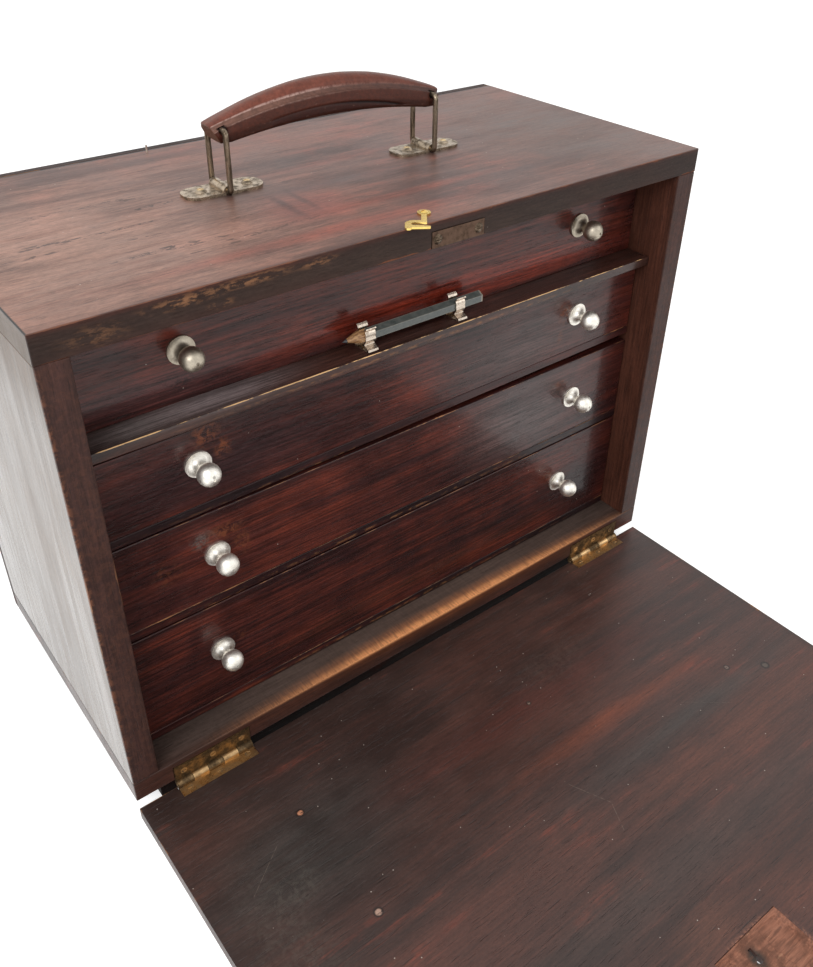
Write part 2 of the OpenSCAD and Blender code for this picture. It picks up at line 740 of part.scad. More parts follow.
module pencil_barrel() color(pencil_grey) at_pencil() difference() {
    intersection() {
        cylinder(h = pencil_l, r = pencil_corner_r, $fn = 6);
        union() {
            cylinder(h = pencil_cone_l, r1 = 0, r2 = pencil_corner_r);
            translate([0, 0, pencil_cone_l])
                cylinder(h = pencil_l - pencil_cone_l, r = pencil_corner_r + eps);
        }
    }
    translate([0, 0, -eps]) cylinder(h = pencil_l + 2 * eps, r = lead_r + lead_fit);
}

module pencil_lead() color(graphite) at_pencil() intersection() {
    translate([0, 0, lead_blunt]) cylinder(h = pencil_l - lead_blunt - lead_sunk, r = lead_r);
    union() {
        cylinder(h = lead_cone_l, r1 = 0, r2 = lead_r);
        translate([0, 0, lead_cone_l]) cylinder(h = pencil_l, r = lead_r + eps);
    }
}

lead_cone_l = pencil_cone_l * lead_r / pencil_corner_r;

module flap() let_down() color(stain_brown) difference() {
    span([-case_w / 2, -flap_gap - flap_t, flap_bottom_z], [case_w / 2, -flap_gap, flap_top_z]);
    for (x = hinge_x) {
        span([x - hinge_l / 2 - let_in_play, -flap_gap - leaf_t, flap_bottom_z - eps],
            [x + hinge_l / 2 + let_in_play, eps, hinge_z + leaf_flap_w + let_in_play]);
        translate([x - hinge_l / 2 - knuckle_relief, hinge_pin_y, hinge_z]) rotate([0, 90, 0])
            cylinder(h = hinge_l + 2 * knuckle_relief, r = knuckle_r + knuckle_relief);
    }
    at_flap_leaf_screws() translate([0, 0, -hinge_screw_l])
        cylinder(h = hinge_screw_l, r = hinge_screw_r + screw_fit);
    span([pocket_shift - pocket_w / 2, -flap_gap - pocket_depth, flap_top_z - pocket_l],
        [pocket_shift + pocket_w / 2, eps, flap_top_z + eps]);
    translate([0, -flap_gap + eps, flap_top_z - keyhole_from_edge]) rotate([90, 0, 0]) {
        cylinder(h = flap_t + 2 * eps, r = keyhole_r);
        span([-keyhole_r / 2, -keyhole_slot_l, 0], [keyhole_r / 2, 0, flap_t + 2 * eps]);
    }
    translate([hook_x, peg_y, flap_top_z - peg_in_wood])
        cylinder(h = peg_in_wood + eps, r = peg_r + screw_fit);
}

peg_in_wood = 12;

// One leaf's share of a hinge: the knuckles whose number has the given remainder
module knuckle_row(first, r, grow) {
    pitch = hinge_l / knuckles;
    for (i = [first:2:knuckles - 1])
        translate([-hinge_l / 2 + i * pitch + knuckle_gap / 2 - grow, 0, 0]) rotate([0, 90, 0])
            cylinder(h = pitch - knuckle_gap + 2 * grow, r = r);
}

// A hinge leaf with z = 0 at the pin; side is 1 for the case's leaf and -1 for the flap's
module hinge_leaf(first, side, width) {
    near = side * flap_gap / 2;
    far = near + side * leaf_t;
    difference() {
        union() {
            span([-hinge_l / 2, min(near, far), 0], [hinge_l / 2, max(near, far), width]);
            knuckle_row(first, knuckle_r, 0);
        }
        knuckle_row(1 - first, knuckle_r + knuckle_play, knuckle_gap);
        translate([-hinge_l / 2 - eps, 0, 0]) rotate([0, 90, 0])
            cylinder(h = hinge_l + 2 * eps, r = pin_r + run_fit);
    }
}

module hinge_leaves_case() in_frame() color(aged_brass) difference() {
    for (x = hinge_x)
        translate([x, hinge_pin_y, hinge_z]) hinge_leaf(0, 1, leaf_case_w);
    at_case_leaf_screws() flush_hole(hinge_screw_head_r, hinge_screw_r, hinge_screw_l);
}

module hinge_leaves_flap() let_down() color(aged_brass) difference() {
    for (x = hinge_x)
        translate([x, hinge_pin_y, hinge_z]) hinge_leaf(1, -1, leaf_flap_w);
    at_flap_leaf_screws() flush_hole(hinge_screw_head_r, hinge_screw_r, hinge_screw_l);
}

module hinge_pins() in_frame() color(aged_brass)
    for (x = hinge_x)
        translate([x - hinge_l / 2, hinge_pin_y, hinge_z]) rotate([0, 90, 0])
            cylinder(h = hinge_l, r = pin_r);

module hinge_screws_case() in_frame() color(aged_brass)
    at_case_leaf_screws() flush_screw(hinge_screw_head_r, hinge_screw_r, hinge_screw_l - tip_gap);

module hinge_screws_flap() let_down() color(aged_brass)
    at_flap_leaf_screws() flush_screw(hinge_screw_head_r, hinge_screw_r, hinge_screw_l - tip_gap);

module strike_plate() in_frame() color(aged_brass) difference() {
    span([strike_shift - strike_l / 2, -strike_proud, strike_z - strike_h / 2],
        [strike_shift + strike_l / 2, strike_t - strike_proud, strike_z + strike_h / 2]);
    at_strike_screws() translate([0, 0, -strike_screw_l])
        cylinder(h = 2 * strike_screw_l, r = strike_screw_r + screw_fit);
}

module strike_screws() in_frame() color(aged_brass)
    at_strike_screws() domed_screw(strike_head_r, strike_head_h, strike_screw_r, strike_screw_l - tip_gap);

hook_shoulder = slot_middle - slot_half - hook_rim;
hook_inner = slot_middle + slot_half;
hook_outer = hook_inner + hook_rim;
hook_tip_r = hook_rim / 2 - hook_taper;
hook_tip_x = hook_tip - hook_tip_r;

// The hook with its shank along -Y, its slot open towards +X and a small foot on its heel
module hook_outline() difference() {
    union() {
        circle(r = hook_eye_r);
        translate([-hook_shank_w / 2, -slot_middle]) square([hook_shank_w, slot_middle]);
        translate([-hook_heel + hook_round, -hook_shoulder - hook_round]) circle(r = hook_round);
        translate([-hook_heel + hook_round, -hook_shoulder - hook_round])
            square([hook_heel - hook_round + hook_shank_w / 2, hook_round]);
        translate([-hook_heel, -slot_middle])
            square([hook_heel + hook_shank_w / 2, slot_middle - hook_shoulder - hook_round + eps]);
        translate([-hook_heel, -hook_outer]) square([hook_heel - hook_slot_l, hook_outer - slot_middle + eps]);
        translate([-hook_heel + hook_foot_r, -hook_outer]) circle(r = hook_foot_r);
        polygon([[-hook_slot_l - eps, -hook_outer], [hook_tip_x, -hook_outer + hook_taper],
            [hook_tip_x, -hook_inner - hook_taper], [-hook_slot_l - eps, -hook_inner]]);
        translate([hook_tip_x, -(hook_outer + hook_inner) / 2]) circle(r = hook_tip_r);
    }
    circle(r = hook_screw_r + run_fit);
    translate([-hook_slot_l, -slot_middle]) circle(r = slot_half);
    translate([-hook_slot_l, -slot_middle - slot_half]) square([hook_slot_l + hook_tip + eps, 2 * slot_half]);
}

module hook() in_frame() color(bright_brass)
    translate([hook_x, hook_y, case_top_z + hook_lift]) rotate([0, 0, -hook_rest_angle])
        linear_extrude(hook_t) hook_outline();

module hook_pivot_screw() in_frame() color(bright_brass)
    translate([hook_x, hook_y, case_top_z + hook_t + 2 * hook_lift])
        domed_screw(hook_head_r, hook_head_h, hook_screw_r, hook_screw_in + hook_t + 2 * hook_lift - tip_gap);

module hook_peg() let_down() color(bright_brass) translate([hook_x, peg_y, flap_top_z]) {
    translate([0, 0, tip_gap - peg_in_wood]) cylinder(h = peg_in_wood + peg_head_up - tip_gap, r = peg_r);
    translate([0, 0, peg_head_up]) cylinder(h = peg_head_h, r = peg_head_r);
}

// A handle plate about its loop's lower bar, with z = 0 on the top board
module handle_plate(side) in_frame() color(dull_steel) on_handle() translate([side * loop_x, 0, 0])
    difference() {
    intersection() {
        translate([plate_shift, 0, 0]) linear_extrude(bridge_r * 3) plate_outline();
        rotate([90, 0, 0]) translate([0, 0, -plate_w]) linear_extrude(2 * plate_w) difference() {
            union() {
                translate([-plate_l, 0]) square([2 * plate_l, plate_t]);
                translate([0, loop_axis_up]) circle(r = bridge_r);
            }
            translate([-plate_l, -plate_l]) square([2 * plate_l, plate_l]);
            translate([0, loop_axis_up]) circle(r = tunnel_r);
            translate([-tunnel_r, -eps]) square([2 * tunnel_r, loop_axis_up + eps]);
        }
    }
    for (end = [-1, 1])
        translate([plate_screw_x(end), 0, -eps])
            cylinder(h = plate_t + 2 * eps, r = round_shank_r + drilled_play);
}

module plate_outline() union() {
    square([plate_l - 2 * plate_corner_r, plate_w], center = true);
    square([plate_l, plate_w - 2 * plate_corner_r], center = true);
    for (x = [-1, 1])
        for (y = [-1, 1])
            translate([x * (plate_l / 2 - plate_corner_r), y * (plate_w / 2 - plate_corner_r)])
                circle(r = plate_corner_r);
}

module handle_screws() in_frame() color(aged_brass)
    at_plate_screws() translate([0, 0, plate_t])
        domed_screw(round_head_r, round_head_h, round_shank_r, round_shank_l + plate_t - tip_gap);

// A closed rectangle of wire, standing on its lower bar
module wire_loop(side) in_frame() color(dull_steel) on_handle() translate([side * loop_x, 0, loop_axis_up]) {
    half = loop_w / 2 - loop_bend;
    for (z = [0, loop_h])
        translate([0, -half, z]) rotate([-90, 0, 0]) cylinder(h = 2 * half, r = wire_r);
    for (y = [-1, 1])
        translate([0, y * loop_w / 2, loop_bend]) cylinder(h = loop_h - 2 * loop_bend, r = wire_r);
    for (y = [0, 1])
        for (z = [0, 1])
            mirror([0, y, 0]) translate([0, half, loop_h / 2]) mirror([0, 0, z])
                translate([0, 0, loop_h / 2 - loop_bend]) rotate([90, 0, 90]) rotate_extrude(angle = 90)
                    translate([loop_bend, 0]) circle(r = wire_r);
}

// The grip's own frame: middle of the handle at the height of the loops' upper bars
module at_grip() {
    in_frame() on_handle() translate([0, 0, loop_axis_up + loop_h]) children();
}

// A cylinder that lies along Y
module lying(r, h) {
    rotate([90, 0, 0]) translate([0, 0, -h / 2]) cylinder(h = h, r = r, $fn = arc_sides);
}

module core_band(play) intersection() {
    translate([0, 0, -core_arch]) difference() {
        translate([0, 0, core_rise]) lying(core_arch + core_t / 2 + play, core_w + 2 * play);
        translate([0, 0, core_rise]) lying(core_arch - core_t / 2 - play, core_w + 4 * play + eps);
    }
    span([-loop_x - core_end - play, -core_w, -grip_crown],
        [loop_x + core_end + play, core_w, 2 * grip_crown]);
}

// Height of the core's middle line above the bars, at the handle's middle
core_rise = core_arch - sqrt(core_arch * core_arch - loop_x * loop_x);

module grip_bores() {
    for (side = [-1, 1])
        translate([side * loop_x, 0, 0]) lying(grip_bore_r, 2 * grip_w);
}

module grip() color(leather_red) at_grip() difference() {
    intersection() {
        rotate([90, 0, 0]) linear_extrude(2 * grip_w, center = true) grip_profile();
        linear_extrude(4 * grip_crown, center = true) grip_plan();
        translate([0, 0, grip_crown - grip_crown_arch]) rotate([90, 0, 0]) rotate_extrude($fn = arc_sides)
            grip_section();
    }
    core_band(core_play);
    grip_bores();
}

// The grip seen from the front: an arched bar that is rolled round a loop at each end
module grip_profile() {
    difference() {
        translate([-loop_x, grip_roll_z - grip_roll_r]) square([2 * loop_x, 2 * grip_crown]);
        translate([0, -grip_under_arch]) circle(r = grip_under_arch, $fn = arc_sides);
    }
    for (side = [-1, 1])
        translate([side * loop_x, grip_roll_z]) circle(r = grip_roll_r);
}

// The grip seen from above: widest in the middle
module grip_plan() intersection() {
    square([2 * loop_x + 4 * grip_roll_r, 2 * grip_w], center = true);
    translate([0, grip_plan_r - grip_w / 2]) circle(r = grip_plan_r, $fn = long_arc_sides);
    translate([0, grip_w / 2 - grip_plan_r]) circle(r = grip_plan_r, $fn = long_arc_sides);
}

// Half of the band that sweeps the crown: a dome across the grip, as wide as the grip
module grip_section() {
    half = grip_w / 2 + grip_side_spare;
    dome_r = (half * half + grip_dome * grip_dome) / (2 * grip_dome);
    intersection() {
        translate([grip_crown_arch - 2 * grip_crown, -half]) square([3 * grip_crown, 2 * half]);
        union() {
            translate([grip_crown_arch - dome_r, 0]) circle(r = dome_r, $fn = arc_sides);
            translate([grip_crown_arch - 2 * grip_crown, -half]) square([2 * grip_crown - grip_dome, 2 * half]);
        }
    }
}

module grip_core() color(dull_steel) at_grip() difference() {
    core_band(0);
    grip_bores();
}

case_top();
case_bottom();
case_side(-1);  // case_side_left
case_side(1);  // case_side_right
case_back();
bearer(front_bearer_y);  // bearer_front
bearer(back_bearer_y);  // bearer_back
bearer_screws();
runners(-1);  // runners_left
runners(1);  // runners_right
runner_screws();
back_pin();
drawer_front(0);  // drawer_1_front
drawer_sides(0);  // drawer_1_sides
drawer_back(0);  // drawer_1_back
drawer_bottom(0);  // drawer_1_bottom
drawer_knobs(0);  // drawer_1_knobs
drawer_knob_screws(0);  // drawer_1_knob_screws
drawer_front(1);  // drawer_2_front
drawer_sides(1);  // drawer_2_sides
drawer_back(1);  // drawer_2_back
drawer_bottom(1);  // drawer_2_bottom
drawer_knobs(1);  // drawer_2_knobs
drawer_knob_screws(1);  // drawer_2_knob_screws
drawer_front(2);  // drawer_3_front
drawer_sides(2);  // drawer_3_sides
drawer_back(2);  // drawer_3_back
drawer_bottom(2);  // drawer_3_bottom
drawer_knobs(2);  // drawer_3_knobs
drawer_knob_screws(2);  // drawer_3_knob_screws
drawer_front(3);  // drawer_4_front
drawer_sides(3);  // drawer_4_sides
drawer_back(3);  // drawer_4_back
drawer_bottom(3);  // drawer_4_bottom
drawer_knobs(3);  // drawer_4_knobs
drawer_knob_screws(3);  // drawer_4_knob_screws
clip(-1);  // clip_left
clip(1);  // clip_right
clip_screws();
pencil_barrel();
pencil_lead();
flap();
hinge_leaves_case();
hinge_leaves_flap();
hinge_pins();
hinge_screws_case();
hinge_screws_flap();
strike_plate();
strike_screws();
hook();
hook_pivot_screw();
hook_peg();
handle_plate(-1);  // handle_plate_left
handle_plate(1);  // handle_plate_right
handle_screws();
wire_loop(-1);  // loop_left
wire_loop(1);  // loop_right
grip();
grip_core();
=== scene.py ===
"""Looks of a drop-front wooden tool chest: stained and worn boards, nickel knobs, brass fittings,
a leather carrying handle on wire loops and a pencil in its clips.

The file is laid out as an add-on with one operator for each group of pieces, and is run as a script.
Everything is in metres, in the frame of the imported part: X is the width, the flap lets down towards
-Y and the floor is Z = 0.
"""

import json
import math

import bmesh
import bpy
import numpy as np
from bpy.props import FloatProperty, FloatVectorProperty, IntProperty, PointerProperty
from bpy.types import Operator, Panel, PropertyGroup
from mathutils import Matrix, Vector


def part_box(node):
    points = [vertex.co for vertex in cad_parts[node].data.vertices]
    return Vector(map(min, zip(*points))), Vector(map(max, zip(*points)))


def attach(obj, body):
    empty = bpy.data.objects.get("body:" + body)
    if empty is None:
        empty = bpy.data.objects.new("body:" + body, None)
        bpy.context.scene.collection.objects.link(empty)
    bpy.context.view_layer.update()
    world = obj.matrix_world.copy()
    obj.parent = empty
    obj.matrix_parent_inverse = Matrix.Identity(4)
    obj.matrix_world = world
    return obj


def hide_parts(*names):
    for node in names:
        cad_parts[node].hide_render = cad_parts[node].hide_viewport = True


bl_info = {
    "name": "Drop-front tool chest",
    "version": (1, 0, 0),
    "blender": (4, 5, 0),
    "location": "3D View > Sidebar > Tool chest",
    "description": "Builds the worn wood, metal and leather of a drawer chest round its packed frame",
    "category": "Object",
}

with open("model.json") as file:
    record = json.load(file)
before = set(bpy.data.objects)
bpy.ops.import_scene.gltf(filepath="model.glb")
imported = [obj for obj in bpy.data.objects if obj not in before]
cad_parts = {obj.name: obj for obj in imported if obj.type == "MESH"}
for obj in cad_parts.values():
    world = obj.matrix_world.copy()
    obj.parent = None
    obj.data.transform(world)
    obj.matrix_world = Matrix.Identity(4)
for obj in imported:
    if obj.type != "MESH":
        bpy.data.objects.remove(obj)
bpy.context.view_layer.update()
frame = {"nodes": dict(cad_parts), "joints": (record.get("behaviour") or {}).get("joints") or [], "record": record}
AXES = "XYZ"
FAR = 0.9  # a radius that reaches past every board
SCRATCH = (0.26, 0.20, 0.16)  # the pale colour in scratches
DUST = (0.52, 0.45, 0.39)  # the colour of the specks of dust and plaster
KNOB_FOOT = 0.00775  # radius of a knob's foot
SCUFF_INSET = 0.008  # from the outer side of a knob to the middle of the scuffs beside it
COAT_EDGE = 0.0004  # depth below a face at which its coat ends
PATCH_DEPTH = 0.003  # depth of a patch in an upright face
MERGED = 1e-6  # points nearer to each other than this are one
FLAT = math.radians(1.0)  # faces that turn by less are joined up
ARRIS_TURN = math.radians(50)  # an edge that turns by more is an arris
SHORTEST_ARRIS = 0.004  # a board's shorter edges stay sharp
SMOOTH_BELOW = 35.0  # degrees below which an edge is shaded smooth


def where(node):
    """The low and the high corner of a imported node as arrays."""
    low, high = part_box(node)
    return np.array(low), np.array(high)


def body_of_node(node):
    """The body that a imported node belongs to."""
    for body, members in frame["record"]["behaviour"]["bodies"].items():
        if node in members:
            return body
    raise RuntimeError(f"{node} is on no body")


def dim(colour, factor):
    """A colour made darker or lighter by a factor."""
    return tuple(factor * c for c in colour)


def three_tones(wood, kind, factor=1.0):
    """The dark, the usual and the red tone of one kind of stain, made darker or lighter by a factor."""
    return [dim(getattr(wood, f"{kind}_{which}"), factor) for which in ("dark", "mid", "red")]


def tone(name, about, colour):
    """A colour that a user may change, in linear light."""
    return FloatVectorProperty(name=name, description=about, default=colour, subtype="COLOR", min=0, max=1, size=3)


def share(name, about, value):
    """A share from nought to one that a user may change."""
    return FloatProperty(name=name, description=about, default=value, min=0, max=1, subtype="FACTOR")


def length(name, about, value):
    """A length in metres that a user may change."""
    return FloatProperty(name=name, description=about, default=value, min=0, soft_max=0.2, unit="LENGTH")


class ChestWood(PropertyGroup):
    """Colours and wear of the boards"""

    stain_dark: tone("Dark stain", "The darkest streaks of the stained case", (0.030, 0.016, 0.013))
    stain_mid: tone("Brown stain", "The usual brown of the stained case", (0.072, 0.028, 0.020))
    stain_red: tone("Red stain", "The reddest streaks of the stained case", (0.150, 0.036, 0.022))
    top_dark: tone("Rubbed top, dark", "Dark streaks of the rubbed top", (0.100, 0.047, 0.038))
    top_mid: tone("Rubbed top", "The usual colour of the rubbed top", (0.250, 0.105, 0.072))
    top_red: tone("Rubbed top, red", "Red streaks of the rubbed top", (0.310, 0.085, 0.055))
    front_dark: tone("Drawer front, dark", "Dark streaks of the drawer fronts", (0.018, 0.008, 0.009))
    front_mid: tone("Drawer front", "The usual colour of the drawer fronts", (0.055, 0.014, 0.012))
    front_red: tone("Drawer front, red", "Red streaks of the drawer fronts", (0.128, 0.024, 0.013))
    worn: tone("Worn wood", "Wood bared along the edges", (0.42, 0.185, 0.075))
    raw: tone("Raw wood", "Freshly torn wood in the lock pocket", (0.40, 0.165, 0.098))
    inner: tone("Plain wood", "Unstained wood of runners and drawer sides", (0.40, 0.25, 0.125))
    edge_wear: share("Edge wear", "How much of the edges is worn bare", 0.55)
    arris: length("Eased edge", "Radius to which the edges of the boards are worn", 0.0008)


class ChestMetal(PropertyGroup):
    """Colours of the metal parts"""

    nickel: tone("Nickel", "Plating of the knobs", (0.98, 0.94, 0.86))
    steel: tone("Steel", "Plates and loops of the handle", (0.56, 0.45, 0.33))
    brass: tone("Brass", "Hinges", (0.70, 0.45, 0.22))
    new_brass: tone("Bright brass", "The swing hook and its peg", (0.93, 0.66, 0.20))
    tarnish: tone("Tarnish", "Dirt and tarnish in the hollows", (0.045, 0.030, 0.018))


class ChestGrip(PropertyGroup):
    """Shape and colours of the leather grip"""

    hide_red: tone("Crown leather", "Rubbed leather of the crown", (0.165, 0.048, 0.030))
    hide_dark: tone("Side leather", "Dark leather of the sides", (0.080, 0.022, 0.013))
    ridge: share("Ridge", "How sharply the creases stand along the grip", 0.6)
    stations: IntProperty(name="Stations", description="Sections along the grip", default=180, min=40, max=400)


class ChestStage(PropertyGroup):
    """Light, floor and camera"""

    lamp: FloatProperty(name="Lamp", description="Power of the soft lamp", default=8.0, min=0, unit="POWER")
    sky: share("Sky", "Strength of the plain light from all round", 0.60)
    focal: FloatProperty(name="Focal length", description="Camera lens", default=35.222, min=10, unit="CAMERA")


class Shader:
    """A node tree that is put together call by call; a call adds one node or a small pattern, and returns its
    output."""

    def __init__(self, tree):
        self.tree = tree
        tree.nodes.clear()

    def node(self, kind, sockets=None, **settings):
        """A node with its settings and its sockets set or linked."""
        made = self.tree.nodes.new(kind)
        for key, value in settings.items():
            setattr(made, key, value)
        for key, value in (sockets or {}).items():
            self.put(made.inputs[key], value)
        return made

    def put(self, socket, value):
        """Links an output to the socket, or sets a number, vector or colour on it."""
        if isinstance(value, bpy.types.NodeSocket):
            self.tree.links.new(value, socket)
        elif isinstance(value, (tuple, list, np.ndarray)) and len(value) == 3 and socket.type == "RGBA":
            socket.default_value = (*value, 1.0)
        else:
            socket.default_value = value

    def sum(self, operation, *values, clamp=False):
        made = self.node("ShaderNodeMath", dict(enumerate(values)), operation=operation, use_clamp=clamp)
        return made.outputs[0]

    def chain(self, operation, first, *others):
        """The first value and the others joined one after another by one operation."""
        for other in others:
            first = self.sum(operation, first, other)
        return first

    def times(self, *values):
        return self.chain("MULTIPLY", *values)

    def plus(self, *values):
        return self.chain("ADD", *values)

    def minus(self, *values):
        return self.chain("SUBTRACT", *values)

    def most(self, *values):
        return self.chain("MAXIMUM", *values)

    def size(self, value):
        return self.sum("ABSOLUTE", value)

    def both(self, a, share_a, b, share_b):
        """Share_a of a and share_b of b together."""
        return self.plus(self.times(a, share_a), self.times(b, share_b))

    def distance(self, a, b):
        return self.sum("SQRT", self.plus(self.times(a, a), self.times(b, b)))

    def vector(self, operation, *values, out=0):
        made = self.node("ShaderNodeVectorMath", dict(enumerate(values)), operation=operation)
        return made.outputs[out]

    def parts(self, vector):
        """The x, y and z of a vector."""
        return self.node("ShaderNodeSeparateXYZ", {"Vector": vector}).outputs


class Finish(Shader):
    """A material with one principled surface, and the patterns that its colour, roughness and bump are made of."""

    def __init__(self, name, metallic=0.0, coat=0.0, coat_roughness=0.1, coat_ior=1.5, specular=0.5):
        self.made = bpy.data.materials.new(name)
        self.made.use_nodes = True
        super().__init__(self.made.node_tree)
        self.skin = self.node("ShaderNodeBsdfPrincipled", {
            "Metallic": metallic, "Coat Weight": coat, "Coat Roughness": coat_roughness,
            "Coat IOR": coat_ior, "Specular IOR Level": specular,
        })
        self.node("ShaderNodeOutputMaterial", {0: self.skin.outputs[0]})
        self.place = self.node("ShaderNodeTexCoord").outputs["Object"]
        self.colour = None  # the colour so far

    def span(self, value, low, high, to_low=0.0, to_high=1.0):
        """Value carried smoothly from low..high to to_low..to_high and held there beyond."""
        limits = {"Value": value, "From Min": low, "From Max": high, "To Min": to_low, "To Max": to_high}
        return self.node("ShaderNodeMapRange", limits, interpolation_type="SMOOTHSTEP").outputs[0]

    def mix(self, share_of_b, a, b, blend="MIX"):
        made = self.node("ShaderNodeMix", data_type="RGBA", blend_type=blend)
        for k, value in ((0, share_of_b), (6, a), (7, b)):
            self.put(made.inputs[k], value)
        return made.outputs[2]

    def over(self, share_shown, colour):
        """Lays a share of another colour over the colour so far."""
        self.colour = self.mix(share_shown, self.colour, colour)

    def shade(self, pattern):
        """Multiplies the colour so far by a pattern."""
        self.colour = self.mix(1.0, self.colour, pattern, "MULTIPLY")

    def drawn(self, axis=None, draw=1.0, shift=(0, 0, 0)):
        """Object coordinates, drawn out draw times along one axis and moved by shift."""
        scale = [1.0 / draw if name == axis else 1.0 for name in AXES]
        return self.node("ShaderNodeMapping", {"Vector": self.place, "Location": shift, "Scale": scale}).outputs[0]

    def noise(self, space, size, detail=4.0, rough=0.55, warp=0.0):
        """Noise whose spots are about size metres across."""
        made = self.node(
            "ShaderNodeTexNoise",
            {"Vector": space, "Scale": 1.0 / size, "Detail": detail, "Roughness": rough, "Distortion": warp},
        )
        return made.outputs["Fac"]

    def specks(self, size, share_shown, dot):
        """Scattered dots, dot metres in radius, in the given share of cells of the given size."""
        cells = self.node("ShaderNodeTexVoronoi", {"Vector": self.place, "Scale": 1.0 / size})
        near = self.span(cells.outputs["Distance"], dot / size, 0.5 * dot / size)
        drawn_lot = self.node("ShaderNodeSeparateColor", {"Color": cells.outputs["Color"]}).outputs[0]
        return self.times(near, self.span(drawn_lot, share_shown, share_shown * 0.9))

    def patch(self, centre, radii, soft=0.5):
        """One inside an ellipsoid with the given centre and radii, falling to nought at its skin."""
        radii = np.array(radii, float)
        made = self.node(
            "ShaderNodeMapping",
            {"Vector": self.place, "Location": tuple(-np.array(centre, float) / radii), "Scale": tuple(1 / radii)},
        )
        return self.span(self.vector("LENGTH", made.outputs[0], out="Value"), 1.0, soft)

    def stroke(self, start, end, half_width, amount):
        """Amount along the straight line from start to end, falling to nought at half_width beside it."""
        start, end = np.array(start, float), np.array(end, float)
        way = end - start
        off = self.vector("SUBTRACT", self.place, tuple(start))
        along = self.vector("DOT_PRODUCT", off, tuple(way / (way @ way)), out="Value")
        along = self.sum("ADD", along, 0.0, clamp=True)
        foot = self.node("ShaderNodeVectorMath", {0: tuple(way), "Scale": along}, operation="SCALE").outputs[0]
        beside = self.vector("LENGTH", self.vector("SUBTRACT", off, foot), out="Value")
        return self.span(beside, half_width, 0.3 * half_width, 0.0, amount)

    def to_arris(self, low, high, spared=""):
        """Distance to the nearest arris of a board from low to high. Of the distances to its three pairs of
        faces the smallest is nought on the surface, and the middle one is the distance to the arris.
        A spared face, such as "-x", counts as far away."""
        low, high = np.array(low, float), np.array(high, float)
        for side, axis in spared.split():
            if side == "-":
                low["xyz".index(axis)] -= 1.0
            else:
                high["xyz".index(axis)] += 1.0
        off = self.vector("ABSOLUTE", self.vector("SUBTRACT", self.place, tuple((low + high) / 2)))
        x, y, z = self.parts(self.vector("SUBTRACT", tuple((high - low) / 2), off))
        least = self.chain("MINIMUM", x, y, z)
        return self.minus(self.plus(x, y, z), least, self.most(x, y, z))

    def near_face(self, low, high, faces):
        """One on the named faces of a board from low to high, such as "-x +z", and nought off them."""
        found = []
        for side, axis in faces.split():
            at = self.parts(self.place)["xyz".index(axis)]
            plane = float((low if side == "-" else high)["xyz".index(axis)])
            inward = COAT_EDGE if side == "-" else -COAT_EDGE
            found.append(self.span(at, plane + 1.5 * inward, plane + 0.5 * inward))
        return self.most(*found)

    def bump(self, height, depth, strength=1.0, under=None):
        """The surface's normal over a height that is depth metres at one, laid over another normal if given."""
        made = self.node("ShaderNodeBump", {"Height": height, "Distance": depth, "Strength": strength})
        if under is not None:
            self.put(made.inputs["Normal"], under)
        return made.outputs[0]

    def finish(self, roughness, normal):
        """Sets the surface's colour, roughness and normal, and returns the material."""
        for name, value in (("Base Color", self.colour), ("Roughness", roughness), ("Normal", normal)):
            self.put(self.skin.inputs[name], value)
        return self.made


